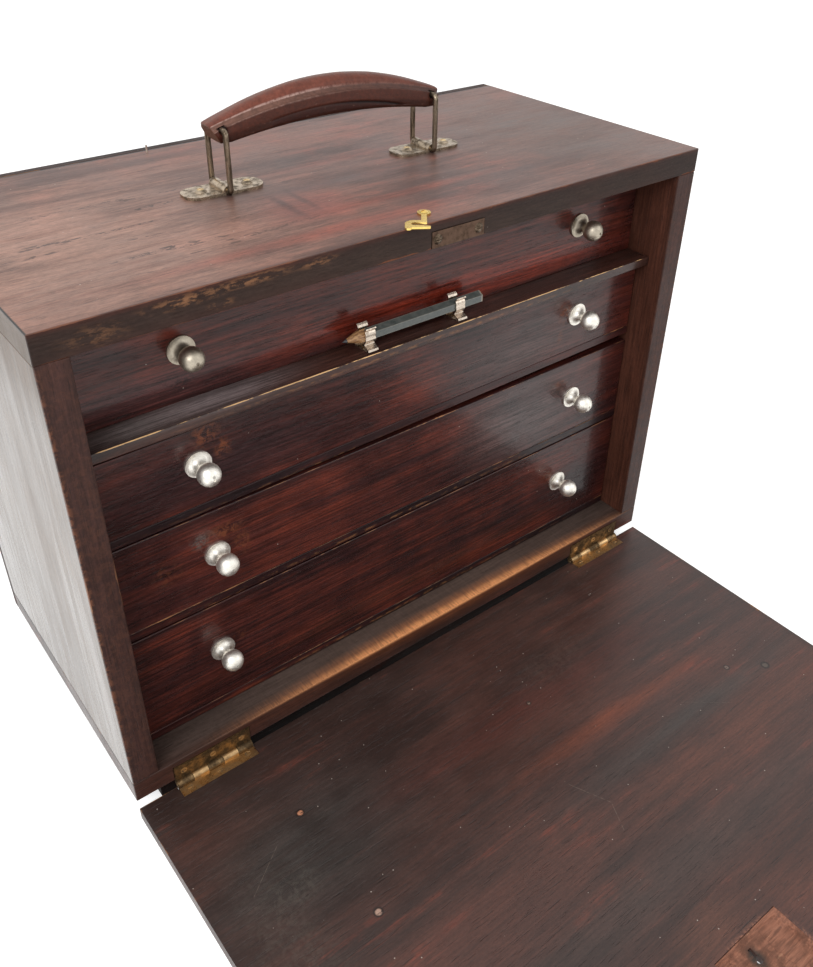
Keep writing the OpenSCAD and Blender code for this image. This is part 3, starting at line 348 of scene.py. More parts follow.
def stained_wood(
    name, box, grain, tones, worn, *, cut, wear, wear_width, gloss, specular, coat, coat_roughness, coated,
    spared="", thin_line=0.0, coat_ior=1.5, coat_left=0.74, run=1.0, bands=(0.42, 0.60), reds=(0.52, 0.66),
    fibre=(0.72, 1.22), cracks=0.35, tinted=(), bared=(), scuffed=(), crossed=(), dulled=(), marks=(), scratches=(),
    flecked=None, dust=0.0, orange_peel=0.00010,
):
    """Stained and varnished wood. Bands, streaks, lines and pores are noise drawn out along the grain. Near the
    arrises the stain is rubbed through where a patchy noise exceeds the wear, and always within the thin line.
    Patches are rows of centre, radii, colour and amount: a tinted one leans to its own colour, a bared one shows
    worn wood, a scuffed one has ragged spots, and a crossed one has fine scratches across the grain. Only the faces
    named as coated have the clear coat, of which the streaks leave a share, and each dulled patch takes more."""
    f = Finish(name, coat=coat, coat_roughness=coat_roughness, coat_ior=coat_ior, specular=specular)
    dark, mid, red = tones
    shift = (cut * 0.731, cut * 1.317, cut * 0.577)

    def along(draw, size, detail, rough, warp=0.0):
        """Noise drawn out along the grain."""
        return f.noise(f.drawn(grain, draw, shift), size, detail, rough, warp)

    broad = along(1.0 + 6.0 * run, 0.060, 3.0, 0.5, 0.4)
    streak = along(24.0 * run, 0.0085, 7.0, 0.70)
    line = along(40.0 * run, 0.0013, 5.0, 0.70)
    grit = along(2.0, 0.0013, 4.0, 0.7)
    cloud = f.noise(f.drawn(shift=shift), 0.045, 4.0, 0.6)
    f.colour = f.mix(f.span(f.both(broad, 0.6, streak, 0.4), *bands), dark, mid)
    f.over(f.span(f.both(streak, 0.62, cloud, 0.38), *reds), red)
    for centre, radii, colour, amount in tinted:
        least = 0.35 * amount if amount <= 1 else 1.0  # more than one covers the streaks too
        there = f.times(f.patch(centre, radii, 0.1), f.span(streak, 0.30, 0.62, least, amount))
        f.over(there, colour)
    f.shade(f.span(line, 0.36, 0.64, *fibre))
    for pattern in (grit, cloud):
        f.shade(f.span(pattern, 0.32, 0.68, 0.86, 1.12))
    pores = f.span(along(18.0, 0.0007, 2.0, 0.5), 0.60, 0.72)
    f.over(f.times(pores, 0.55), dim(dark, 0.35))
    crack = f.span(along(70.0, 0.0015, 3.0, 0.6, 0.2), 0.655, 0.70, 0.0, cracks)
    f.over(crack, dim(dark, 0.30))

    edge = f.to_arris(*box, spared=spared)
    chips = along(4.0, 0.0045, 5.0, 0.68)
    patchy = f.span(along(2.0, 0.030, 3.0, 0.6), 0.62 - 0.35 * wear, 0.72 - 0.2 * wear)
    reach = f.times(patchy, wear_width, f.span(chips, 0.30, 0.70, 0.1, 2.0))
    if thin_line:
        reach = f.most(reach, f.span(chips, 0.38, 0.60, 0.10 * thin_line, 1.15 * thin_line))
    rub = f.span(f.minus(edge, reach), 0.0001, -0.0002)
    # soot that darkens the wood near its arrises
    soot_and_shadow = f.times(f.span(edge, 0.0060, 0.0004, 0.0, 0.40), f.span(cloud, 0.35, 0.6))
    f.over(soot_and_shadow, dim(dark, 0.6))
    f.over(rub, f.mix(f.span(line, 0.35, 0.65), dim(worn, 0.62), worn))

    torn = along(3.0, 0.0026, 5.0, 0.70)
    rough_wood = f.span(torn, 0.46, 0.60)
    for centre, radii, colour, amount in bared:
        there = f.times(f.patch(centre, radii, 0.0), amount, rough_wood)
        f.over(there, colour)
        rub = f.most(rub, there)
    if scuffed:
        spots = f.span(f.noise(f.drawn(shift=shift), 0.0040, 6.0, 0.74, 0.6), 0.43, 0.62)
        for centre, radii, colour, amount in scuffed:
            there = f.times(f.patch(centre, radii, 0.2), amount, spots)
            f.over(there, colour)
            rub = f.most(rub, f.times(there, 0.5))
    if flecked is not None:
        rows = f.span(along(14.0, 0.0065, 2.0, 0.5), 0.56, 0.64)
        spots = f.span(along(2.4, 0.0023, 3.0, 0.6), 0.50, 0.58)
        f.over(f.times(rows, spots, f.patch(*flecked, 0.2), 0.88), dim(dark, 0.32))
    for centre, radius, colour in marks:
        f.over(f.patch(centre, (radius * 1.5,) * 3, 0.6), dim(dark, 0.5))
        there = f.times(f.patch(centre, (radius,) * 3, 0.5), f.span(torn, 0.36, 0.50))
        f.over(there, colour)
    for start, end, half_width, amount in scratches:
        there = f.times(f.stroke(start, end, half_width, amount), f.span(torn, 0.40, 0.56))
        f.over(there, SCRATCH)
    if dust:
        f.over(f.specks(0.0058, dust, 0.00042), DUST)

    height = f.minus(f.times(line, 0.5), f.times(pores, 0.8), f.times(f.plus(rub, crack), 0.6))
    if crossed:
        nicks = f.noise(f.drawn("Y" if grain == "X" else "X", 14.0, shift), 0.0007, 5.0, 0.70)
        for centre, radii, colour, amount in crossed:
            there = f.times(f.patch(centre, radii, 0.15), amount)
            f.over(f.times(there, f.span(nicks, 0.38, 0.62, 0.45, 1.0)), colour)
        height = f.minus(height, f.times(f.span(nicks, 0.45, 0.65), there))
    normal = f.bump(height, 0.00016, 0.8)
    normal = f.bump(along(2.0, 0.0038, 2.0, 0.5), orange_peel, 1.0, normal)
    if coated:
        left = f.times(f.span(streak, 0.34, 0.64, coat_left * coat, coat), f.span(broad, 0.36, 0.60, 0.84, 1.0))
        for centre, radii, amount in dulled:
            left = f.times(left, f.span(f.patch(centre, radii, 0.0), 0.0, 1.0, 1.0, 1.0 - amount))
        f.put(f.skin.inputs["Coat Weight"], f.times(f.near_face(*box, coated), left))
    sheen = f.plus(f.span(cloud, 0.3, 0.7, gloss - 0.06, gloss + 0.07), f.times(rub, 0.25))
    return f.finish(sheen, normal)


def plain_wood(name, inner, grain, cut=0.0):
    """Unstained wood: light and dark streaks along the grain, pores and handling grime."""
    f = Finish(name)
    shift = (cut, cut * 1.7, cut * 0.6)
    streak = f.noise(f.drawn(grain, 18.0, shift), 0.010, 5.0, 0.6)
    line = f.noise(f.drawn(grain, 40.0, shift), 0.0016, 4.0, 0.6)
    grime = f.noise(f.drawn(shift=shift), 0.030, 5.0, 0.62)
    f.colour = f.mix(f.span(streak, 0.38, 0.62), dim(inner, 0.7), tuple(inner))
    f.shade(f.span(line, 0.32, 0.68, 0.74, 1.12))
    f.over(f.span(grime, 0.50, 0.70, 0.0, 0.55), (0.10, 0.06, 0.035))
    normal = f.bump(f.plus(line, streak), 0.00022, 0.8)
    return f.finish(f.span(grime, 0.3, 0.7, 0.58, 0.74), normal)


def old_metal(name, clean, tarnish, amount, roughness, size, pits, knob=None, dome=None, drawn=""):
    """Metal with patches of tarnish. Large and small noise together choose where the tarnish lies, and the metal
    is rougher and darker there, with fine scratches. A knob has painted shade round its neck and foot, and dirt on
    the pip at its front; a dome has its own colour above a height; a drawn wire has its streaks along one axis."""
    f = Finish(name, metallic=1.0)
    space = f.drawn(drawn, 9.0) if drawn else f.place
    large = f.noise(space, size, 5.0, 0.62)
    small = f.noise(space, size * 0.16, 4.0, 0.6)
    dull = f.span(f.both(large, 0.65, small, 0.35), *amount)
    f.colour = f.mix(f.times(dull, 0.9), f.mix(f.span(small, 0.3, 0.7), dim(clean, 0.80), tuple(clean)), tarnish)
    x, y, z = f.parts(f.place)
    if knob is not None:
        centre_x, half_apart, face, centre_z, neck_shade = knob
        radius = f.distance(f.minus(f.size(f.minus(x, centre_x)), half_apart), f.minus(z, centre_z))
        out = f.minus(face, y)
        # painted shade round the neck and at the foot, where the knob meets the front
        neck = f.times(f.span(radius, 0.0052, 0.0036), f.span(out, 0.0066, 0.0048))
        foot = f.times(f.span(out, 0.0012, 0.0002), 0.7)
        pip = f.times(f.span(radius, 0.0011, 0.0006), f.span(out, 0.0100, 0.0112), 0.5)
        dirt_and_shade = f.times(f.most(f.times(f.most(neck, foot), neck_shade), pip), f.span(small, 0.25, 0.55, 0.65, 1.0))
        f.over(dirt_and_shade, (0.050, 0.032, 0.022))
        dull = f.most(dull, dirt_and_shade)
    if dome is not None:
        height, colour = dome
        f.over(f.times(f.span(z, height - 0.0002, height + 0.0001), 0.9), colour)
    scratch = f.noise(f.drawn("X", 12.0), 0.0006, 2.0, 0.5)
    rough = f.plus(f.span(large, 0.3, 0.7, *roughness), f.times(dull, 0.22))
    return f.finish(rough, f.bump(f.both(small, 0.8, scratch, 0.3), pits, 0.7))


def dress(material, *nodes):
    """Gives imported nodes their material."""
    for name in nodes:
        mesh = frame["nodes"][name].data
        mesh.materials.clear()
        mesh.materials.append(material)
        mesh.polygons.foreach_set("material_index", np.zeros(len(mesh.polygons), np.int32))


def new_piece(name, points, faces, material, body, smooth_below, marks=None):
    """A mesh object from points in metres and faces, with its normals outward, that rides on a body. Marks are
    named numbers at the points, which the material may read."""
    mesh = bpy.data.meshes.new(name)
    mesh.from_pydata(points.tolist(), [], faces)
    for mark, values in (marks or {}).items():
        made = mesh.attributes.new(mark, "FLOAT", "POINT")
        made.data.foreach_set("value", np.ascontiguousarray(values, np.float32).ravel())
    return settle(name, mesh, material, body, smooth_below)


def settle(name, mesh, material, body, smooth_below=SMOOTH_BELOW):
    """Merges doubles, turns normals outward, smooths shallow edges and puts the mesh on its body."""
    work = bmesh.new()
    work.from_mesh(mesh)
    bmesh.ops.remove_doubles(work, verts=work.verts, dist=MERGED)
    bmesh.ops.recalc_face_normals(work, faces=work.faces)
    work.to_mesh(mesh)
    work.free()
    mesh.polygons.foreach_set("use_smooth", np.ones(len(mesh.polygons), bool))
    mesh.set_sharp_from_angle(angle=math.radians(smooth_below))
    mesh.materials.append(material)
    piece = bpy.data.objects.new(name, mesh)
    bpy.context.scene.collection.objects.link(piece)
    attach(piece, body)
    return piece


def merged_copy(node):
    """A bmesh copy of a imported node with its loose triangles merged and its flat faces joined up."""
    mesh = frame["nodes"][node].data
    points = np.zeros(len(mesh.vertices) * 3, np.float32)
    mesh.vertices.foreach_get("co", points)
    corners = np.zeros(len(mesh.loops), np.int32)
    mesh.loops.foreach_get("vertex_index", corners)
    plain = bpy.data.meshes.new(node + "_plain")
    plain.from_pydata(points.reshape(-1, 3).tolist(), [], corners.reshape(-1, 3).tolist())
    work = bmesh.new()
    work.from_mesh(plain)
    bpy.data.meshes.remove(plain)
    bmesh.ops.remove_doubles(work, verts=work.verts, dist=2 * MERGED)
    bmesh.ops.dissolve_limit(work, angle_limit=FLAT, verts=work.verts, edges=work.edges)
    return work


def eased_board(node, radius, material):
    """A copy of a packed board with its long outer arrises rounded over, which stands for the board."""
    work = merged_copy(node)
    arrises = [
        e
        for e in work.edges
        if e.calc_length() > SHORTEST_ARRIS and e.is_manifold and e.calc_face_angle_signed(0.0) > ARRIS_TURN
    ]
    bmesh.ops.bevel(work, geom=arrises, offset=radius, segments=3, profile=0.5, affect="EDGES", clamp_overlap=True)
    bmesh.ops.triangulate(work, faces=[f for f in work.faces if len(f.verts) > 4])
    mesh = bpy.data.meshes.new("eased_" + node)
    work.to_mesh(mesh)
    work.free()
    piece = settle("eased_" + node, mesh, material, body_of_node(node))
    steady = piece.modifiers.new("Flat faces", "WEIGHTED_NORMAL")
    steady.keep_sharp = True
    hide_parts(node)


def grid_faces(rows, columns, closed=False):
    """Quads over rows of points that follow each other, each row closed to a ring or open."""
    i, j = np.meshgrid(np.arange(rows - 1), np.arange(columns if closed else columns - 1), indexing="ij")
    a, b = i * columns + j, i * columns + (j + 1) % columns
    return np.stack([a, b, b + columns, a + columns], -1).reshape(-1, 4)


def level_patches(rows, z, thick):
    """Patches on a level face at height z, from rows of x, y, their half sizes, colour and amount."""
    return [((x, y, z), (rx, ry, thick), colour, amount) for x, y, rx, ry, colour, amount in rows]


def upright_patches(rows, y, z):
    """Patches on an upright face at y, from rows of x, height above z, their half sizes, colour and amount."""
    return [((x, y, z + up), (rx, PATCH_DEPTH, rz), colour, amount) for x, up, rx, rz, colour, amount in rows]


class CHEST_OT_case(Operator):
    """Dress the case boards, bearers and runners"""

    bl_idname = "chest.dress_case"
    bl_label = "Case"
    bl_options = {"REGISTER", "UNDO"}
    brown = (0.27, 0.130, 0.068)
    # board, grain, cut, faces spared from wear, coat, coated faces
    boards = (
        ("case_bottom", "X", 1.9, "+y -z", 0.5, "-x +x"),
        ("case_side_left", "Z", 2.7, "+y +z -z", 1.0, "-x"),
        ("case_side_right", "Z", 4.1, "+y +z -z", 1.0, "+x"),
        ("case_back", "X", 5.3, "", 0.5, "+y"),
        ("bearer_front", "X", 6.1, "", 0.0, ""),
        ("bearer_back", "X", 7.7, "", 0.0, ""),
    )

    def execute(self, context):
        wood = context.scene.chest_wood
        self.top(wood)
        for node, grain, cut, spared, coat, coated in self.boards:
            low, high = where(node)
            bearer = node.startswith("bearer")
            tones = three_tones(wood, "stain", 0.25 if bearer else 1.0)
            patches = {}
            if node == "case_bottom":
                patches = self.floor_patches(low[1], high[2])
            if node.startswith("case_side"):
                patches = self.side_patches(low, high, node.endswith("left"))
            made = stained_wood(
                node + "_stain", (low, high), grain, tones, self.brown, cut=cut, spared=spared,
                wear=wood.edge_wear * (0.3 if bearer else 0.5), wear_width=0.0007, gloss=0.50, coat=coat,
                coat_roughness=0.17, coated=coated, run=0.6, specular=0.03 if bearer else 0.20, **patches,
            )
            eased_board(node, wood.arris, made)
        dress(plain_wood("plain_runner_wood", wood.inner, "Y", 0.4), "runners_left", "runners_right")
        return {"FINISHED"}

    def top(self, wood):
        """The rubbed top: pale on the left and dark on the right, which is a painted light gradient, with streaks,
        marks of the handle with a painted dark reflection of its left loop, painted shadows round its plates, dark
        ends and edges with a painted shadow along the back arris, and bare patches along the front edge."""
        low, high = where("case_top")
        front, top_z, edge_z = low[1], high[2], low[2]
        mid_y = (low[1] + high[1]) / 2
        tones = three_tones(wood, "top")
        dark, _, red = tones
        # painted colours: the dark reflection of the left loop, and the shadow round each handle plate
        loop_reflection, plate_shadow = (0.085, 0.035, 0.030), (0.085, 0.050, 0.043)
        bared = (
            (-0.145, 0.0105, 0.030, 0.0045, self.brown, 1.0),
            (-0.112, 0.0115, 0.034, 0.0040, self.brown, 1.0),
            (-0.075, 0.0110, 0.016, 0.0035, self.brown, 0.9),
            (-0.188, 0.0060, 0.022, 0.0080, self.brown, 0.45),
            (-0.128, 0.0040, 0.010, 0.0030, self.brown, 0.9),
        )
        tinted = (
            # the first two rows are painted light: pale on the left near the lamp, darker on the right away from it
            (-0.175, 0.130, 0.210, 0.170, (0.40, 0.225, 0.165), 0.88),
            (0.170, 0.140, 0.130, 0.170, (0.115, 0.066, 0.050), 0.9),
            (-0.055, 0.075, 0.150, 0.010, red, 0.9),
            (0.010, 0.098, 0.110, 0.007, red, 0.8),
            (-0.020, 0.140, 0.110, 0.016, dark, 0.8),
            (-0.160, 0.200, 0.160, 0.008, dark, 0.55),
            (-0.100, 0.236, 0.140, 0.010, dark, 0.8),
            (0.120, 0.090, 0.080, 0.007, dark, 0.7),
            (0.030, 0.170, 0.090, 0.008, red, 0.6),
            (-0.044, 0.112, 0.040, 0.034, (0.230, 0.060, 0.044), 0.8),
            # painted dark reflection of the left wire loop, drawn along y in front of its plate
            (-0.052, 0.118, 0.005, 0.030, loop_reflection, 0.9),
            (-0.040, 0.122, 0.004, 0.026, loop_reflection, 0.8),
            # painted shadows round the two handle plates
            (-0.068, 0.154, 0.035, 0.015, plate_shadow, 1.1),
            (0.072, 0.149, 0.035, 0.015, plate_shadow, 1.1),
        )
        edges = [
            # painted shadow along the back arris
            ((0.0, high[1], top_z), (FAR, 0.0028, 0.020), (0.020, 0.020, 0.018), 1.6),
            ((low[0], mid_y, edge_z + 0.006), (0.0010, FAR, FAR), (0.110, 0.072, 0.047), 1.2),
            ((low[0], mid_y, top_z), (0.0012, FAR, 0.0012), (0.020, 0.018, 0.016), 1.4),
            ((0.0, front, edge_z + 0.006), (FAR, 0.0012, 0.020), (0.038, 0.023, 0.019), 1.8),
            ((0.0, front, edge_z + 0.003), (0.24, 0.0014, 0.012), (0.058, 0.036, 0.028), 0.8),
            ((0.0, front, top_z), (0.5, 0.0016, 0.0030), (0.085, 0.026, 0.018), 0.8),
        ]
        made = stained_wood(
            "rubbed_top", (low, high), "X", tones, (0.20, 0.075, 0.042), cut=0.37,
            spared="+y -x +x", wear=wood.edge_wear, wear_width=0.0009, thin_line=0.00035, gloss=0.50, coat=0.74,
            coat_roughness=0.40, coated="+z +x -x", run=0.30, specular=0.12, bands=(0.34, 0.60), reds=(0.50, 0.68),
            fibre=(0.84, 1.12), cracks=0.15, bared=upright_patches(bared, front, edge_z),
            tinted=level_patches(tinted, top_z, 0.010) + edges,
            flecked=((-0.120, 0.135, top_z), (0.150, 0.095, 0.010)), dust=0.16, orange_peel=0.00016,
        )
        eased_board("case_top", wood.arris * 1.3, made)

    @staticmethod
    def floor_patches(front, z):
        """The sill: greyish on top, red-brown in front, scratched across along its rubbed front arris, whose
        brightest strip is a painted highlight.
        """
        return {
            "tinted": [
                ((0.0, front + 0.020, z), (0.5, 0.040, 0.002), (0.070, 0.048, 0.040), 1.5),
                ((0.03, front, z - 0.006), (0.30, 0.002, 0.009), (0.075, 0.027, 0.016), 1.1),
                ((0.03, front, z - 0.003), (0.16, 0.002, 0.006), (0.170, 0.055, 0.020), 0.9),
            ],
            "crossed": [
                ((0.02, front + 0.010, z), (0.26, 0.030, 0.004), (0.155, 0.100, 0.078), 0.45),
                ((0.02, front + 0.001, z), (0.22, 0.0125, 0.0035), (0.46, 0.180, 0.078), 0.95),
                # painted highlight: the brightest strip of the worn front arris
                ((0.03, front + 0.0005, z), (0.20, 0.0062, 0.0025), (1.0, 0.43, 0.17), 1.0),
            ],
        }

    @staticmethod
    def side_patches(low, high, left):
        """A side board: red inside, brown outside with painted shade low down, its front face dark red with rusty
        spots along the outer arris, and its coat duller near the top."""
        inner, outer = (high[0], low[0]) if left else (low[0], high[0])
        top_low, top_high = where("case_top")
        mid_y, mid_z = (top_low[1] + top_high[1]) / 2, 0.16
        front = ((low[0] + high[0]) * 0.5, low[1], mid_z)
        return {
            "tinted": [
                ((inner, mid_y, mid_z), (0.0030, 1.0, 1.0), (0.090, 0.032, 0.020), 1.1),
                ((outer, mid_y, mid_z), (0.0012, 1.0, 1.0), (0.125, 0.080, 0.050), 1.1),
                # painted shade low on the outer face
                ((outer, mid_y, 0.05), (0.0014, 0.4, 0.12), (0.088, 0.058, 0.038), 0.9),
                (front, (0.020, 0.0012, 1.0), (0.053, 0.024, 0.020), 1.5),
            ],
            "scuffed": [
                (front, (0.030, 0.0012, 0.30), (0.175, 0.068, 0.038), 0.20),
                ((outer, low[1], mid_z), (0.0030, 0.0016, 0.30), (0.230, 0.090, 0.048), 0.65),
            ],
            "dulled": [
                ((outer, mid_y, high[2] + 0.010), (0.004, 1.0, 0.075), 0.50),
                ((outer, mid_y - 0.04, 0.16), (0.004, 0.020, 0.12), 0.16),
            ],
            "coat_ior": 1.85, "coat_left": 0.66,
        }


class CHEST_OT_flap(Operator):
    """Dress the flap and the raw pocket that the removed lock left in it"""

    bl_idname = "chest.dress_flap"
    bl_label = "Flap"
    bl_options = {"REGISTER", "UNDO"}
    pocket = ((-0.0225, 0.0285), (-0.2565, -0.2107))  # the pocket's limits in x and in y
    fibres = (150, 136)  # points of its floor along x and y
    pit = (-0.0005, -0.2215)  # middle of the darkened pit round the keyhole
    keyhole = (-0.2227, 0.0019)  # the keyhole's round part: its y and radius
    key_slot = (-0.2192, 0.0011, 0.0034)  # the slot below it: its y, half width and half height

    def execute(self, context):
        wood = context.scene.chest_wood
        low, high = where("flap")
        face = high[2]
        grey = (0.044, 0.041, 0.037)
        splintered = dim(wood.raw, 0.8)
        tinted = (
            (0.055, -0.070, 0.120, 0.011, (0.190, 0.050, 0.024), 0.85),
            (0.105, -0.128, 0.150, 0.024, (0.130, 0.045, 0.028), 0.75),
            (0.095, -0.101, 0.160, 0.013, grey, 0.7),
            (-0.150, -0.030, 0.090, 0.060, grey, 0.8),
            (0.030, -0.030, 0.210, 0.022, (0.100, 0.026, 0.018), 0.6),
            (0.020, -0.165, 0.200, 0.022, (0.070, 0.045, 0.038), 0.6),
            (0.030, -0.210, 0.180, 0.035, (0.135, 0.045, 0.028), 0.6),
            (-0.012, -0.200, 0.034, 0.020, (0.175, 0.068, 0.042), 0.7),
        )
        rubbed = (
            (-0.188, -0.080, 0.030, 0.090, (0.16, 0.14, 0.11), 0.16),
            (-0.168, -0.045, 0.020, 0.016, (0.17, 0.15, 0.12), 0.22),
            (0.060, -0.015, 0.050, 0.020, (0.20, 0.13, 0.10), 0.14),
        )
        round_pocket = (
            (-0.0225, -0.236, 0.0036, 0.028, splintered, 1.0),
            (0.0285, -0.236, 0.0034, 0.028, splintered, 1.0),
            (0.003, -0.2107, 0.0260, 0.0030, splintered, 1.0),
        )
        dents = (
            (-0.143, -0.0078, 0.0022, (0.62, 0.27, 0.15)),
            (-0.142, -0.0838, 0.0024, (0.52, 0.33, 0.25)),
            (0.173, -0.1048, 0.0026, (0.10, 0.075, 0.06)),
            (0.150, -0.0900, 0.0018, (0.22, 0.15, 0.12)),
            (0.020, -0.0300, 0.0014, (0.30, 0.20, 0.15)),
        )
        made = stained_wood(
            "flap_stain", (low, high), "X", three_tones(wood, "stain", 1.28), dim(wood.worn, 0.62), cut=8.6,
            wear=wood.edge_wear * 0.6, wear_width=0.0010, gloss=0.40, coat=0.14,
            coat_roughness=0.25, coated="+z", run=0.5, specular=0.50, fibre=(0.84, 1.14), cracks=0.10,
            tinted=level_patches(tinted, face, 0.01),
            scuffed=level_patches(rubbed, face, 0.004) + level_patches(round_pocket, face, 0.002),
            dust=0.30, bands=(0.40, 0.62), reds=(0.56, 0.72),
            marks=[((x, y, face), radius, colour) for x, y, radius, colour in dents],
            scratches=(
                ((-0.004, -0.090, face), (0.007, -0.114, face), 0.00022, 0.5),
                ((0.007, -0.114, face), (-0.001, -0.131, face), 0.00022, 0.45),
                ((-0.165, -0.018, face), (-0.190, -0.036, face), 0.00030, 0.35),
                ((0.100, -0.090, face), (0.128, -0.112, face), 0.00020, 0.3),
            ),
        )
        eased_board("flap", wood.arris * 1.2, made)
        self.torn_pocket(tuple(wood.raw), face)
        return {"FINISHED"}

    def torn_pocket(self, raw, face):
        """The floor of the pocket, a grid over x and y. Its height is the pocket's floor plus chisel steps along
        x, torn noise, a pit round the keyhole, and a bank that climbs to the flap's face within an uneven distance
        of the walls."""
        f = Finish("torn_wood")
        fibre = f.noise(f.drawn("X", 9.0), 0.0016, 5.0, 0.66)
        cloud = f.noise(f.place, 0.011, 4.0, 0.6)
        f.colour = f.mix(f.span(fibre, 0.34, 0.66), dim(raw, 0.50), raw)
        f.over(f.span(cloud, 0.50, 0.66), dim(raw, 0.42))
        f.over(f.span(fibre, 0.60, 0.74, 0.0, 0.6), (0.55, 0.32, 0.19))
        round_hole = f.patch((*self.pit, face - 0.003), (0.0060, 0.0085, 0.02), 0.35)
        f.over(f.times(round_hole, f.span(fibre, 0.34, 0.50, 0.55, 1.0)), (0.050, 0.034, 0.026))
        made = f.finish(f.span(cloud, 0.3, 0.7, 0.62, 0.8), f.bump(fibre, 0.0009, 0.9))

        (x0, x1), (y0, y1) = self.pocket
        nx, ny = self.fibres
        x = np.linspace(x0, x1, nx)[:, None] * np.ones(ny)
        y = np.linspace(y0, y1, ny)[None, :] * np.ones((nx, 1))
        rng = np.random.default_rng(11)
        torn = np.zeros((nx, ny))
        for size, amount in ((0.009, 0.9), (0.0035, 0.7), (0.0013, 0.45)):
            for _ in range(14):
                turn = rng.uniform(0, math.tau, 2)
                wave = rng.normal(0, 1 / size, 2) * (0.35, 1.0)
                torn += amount / 14 * 2.2 * np.sin(wave[0] * x + wave[1] * y + turn[0])
        wall = np.minimum(np.minimum(x - x0, x1 - x), y1 - y)
        off_pit = np.hypot((x - self.pit[0]) / 0.0065, (y - self.pit[1]) / 0.0085)
        pit = np.clip(1 - off_pit + 0.16 * torn, 0, 1)
        bank = np.clip(1 - wall / (0.0022 + 0.0011 * torn), 0, 1)
        floor = face - 0.0028 + 0.00035 * torn + 0.00022 * np.sign(np.sin(x / 0.0042 + torn))
        height = floor + (face - 0.00015 - floor) * bank**0.7 - 0.0012 * pit
        points = np.stack([x, y, np.clip(height, face - 0.0034, face - 0.0001)], -1).reshape(-1, 3)
        quads = grid_faces(nx, ny)[:, ::-1]
        middle = points[quads].mean(1)
        key_y, key_radius = self.keyhole
        slot_y, slot_x_half, slot_y_half = self.key_slot
        opened = np.hypot(middle[:, 0], middle[:, 1] - key_y) < key_radius
        opened |= (np.abs(middle[:, 0]) < slot_x_half) & (np.abs(middle[:, 1] - slot_y) < slot_y_half)
        new_piece("torn_pocket", points, quads[~opened].tolist(), made, "flap", 70.0)


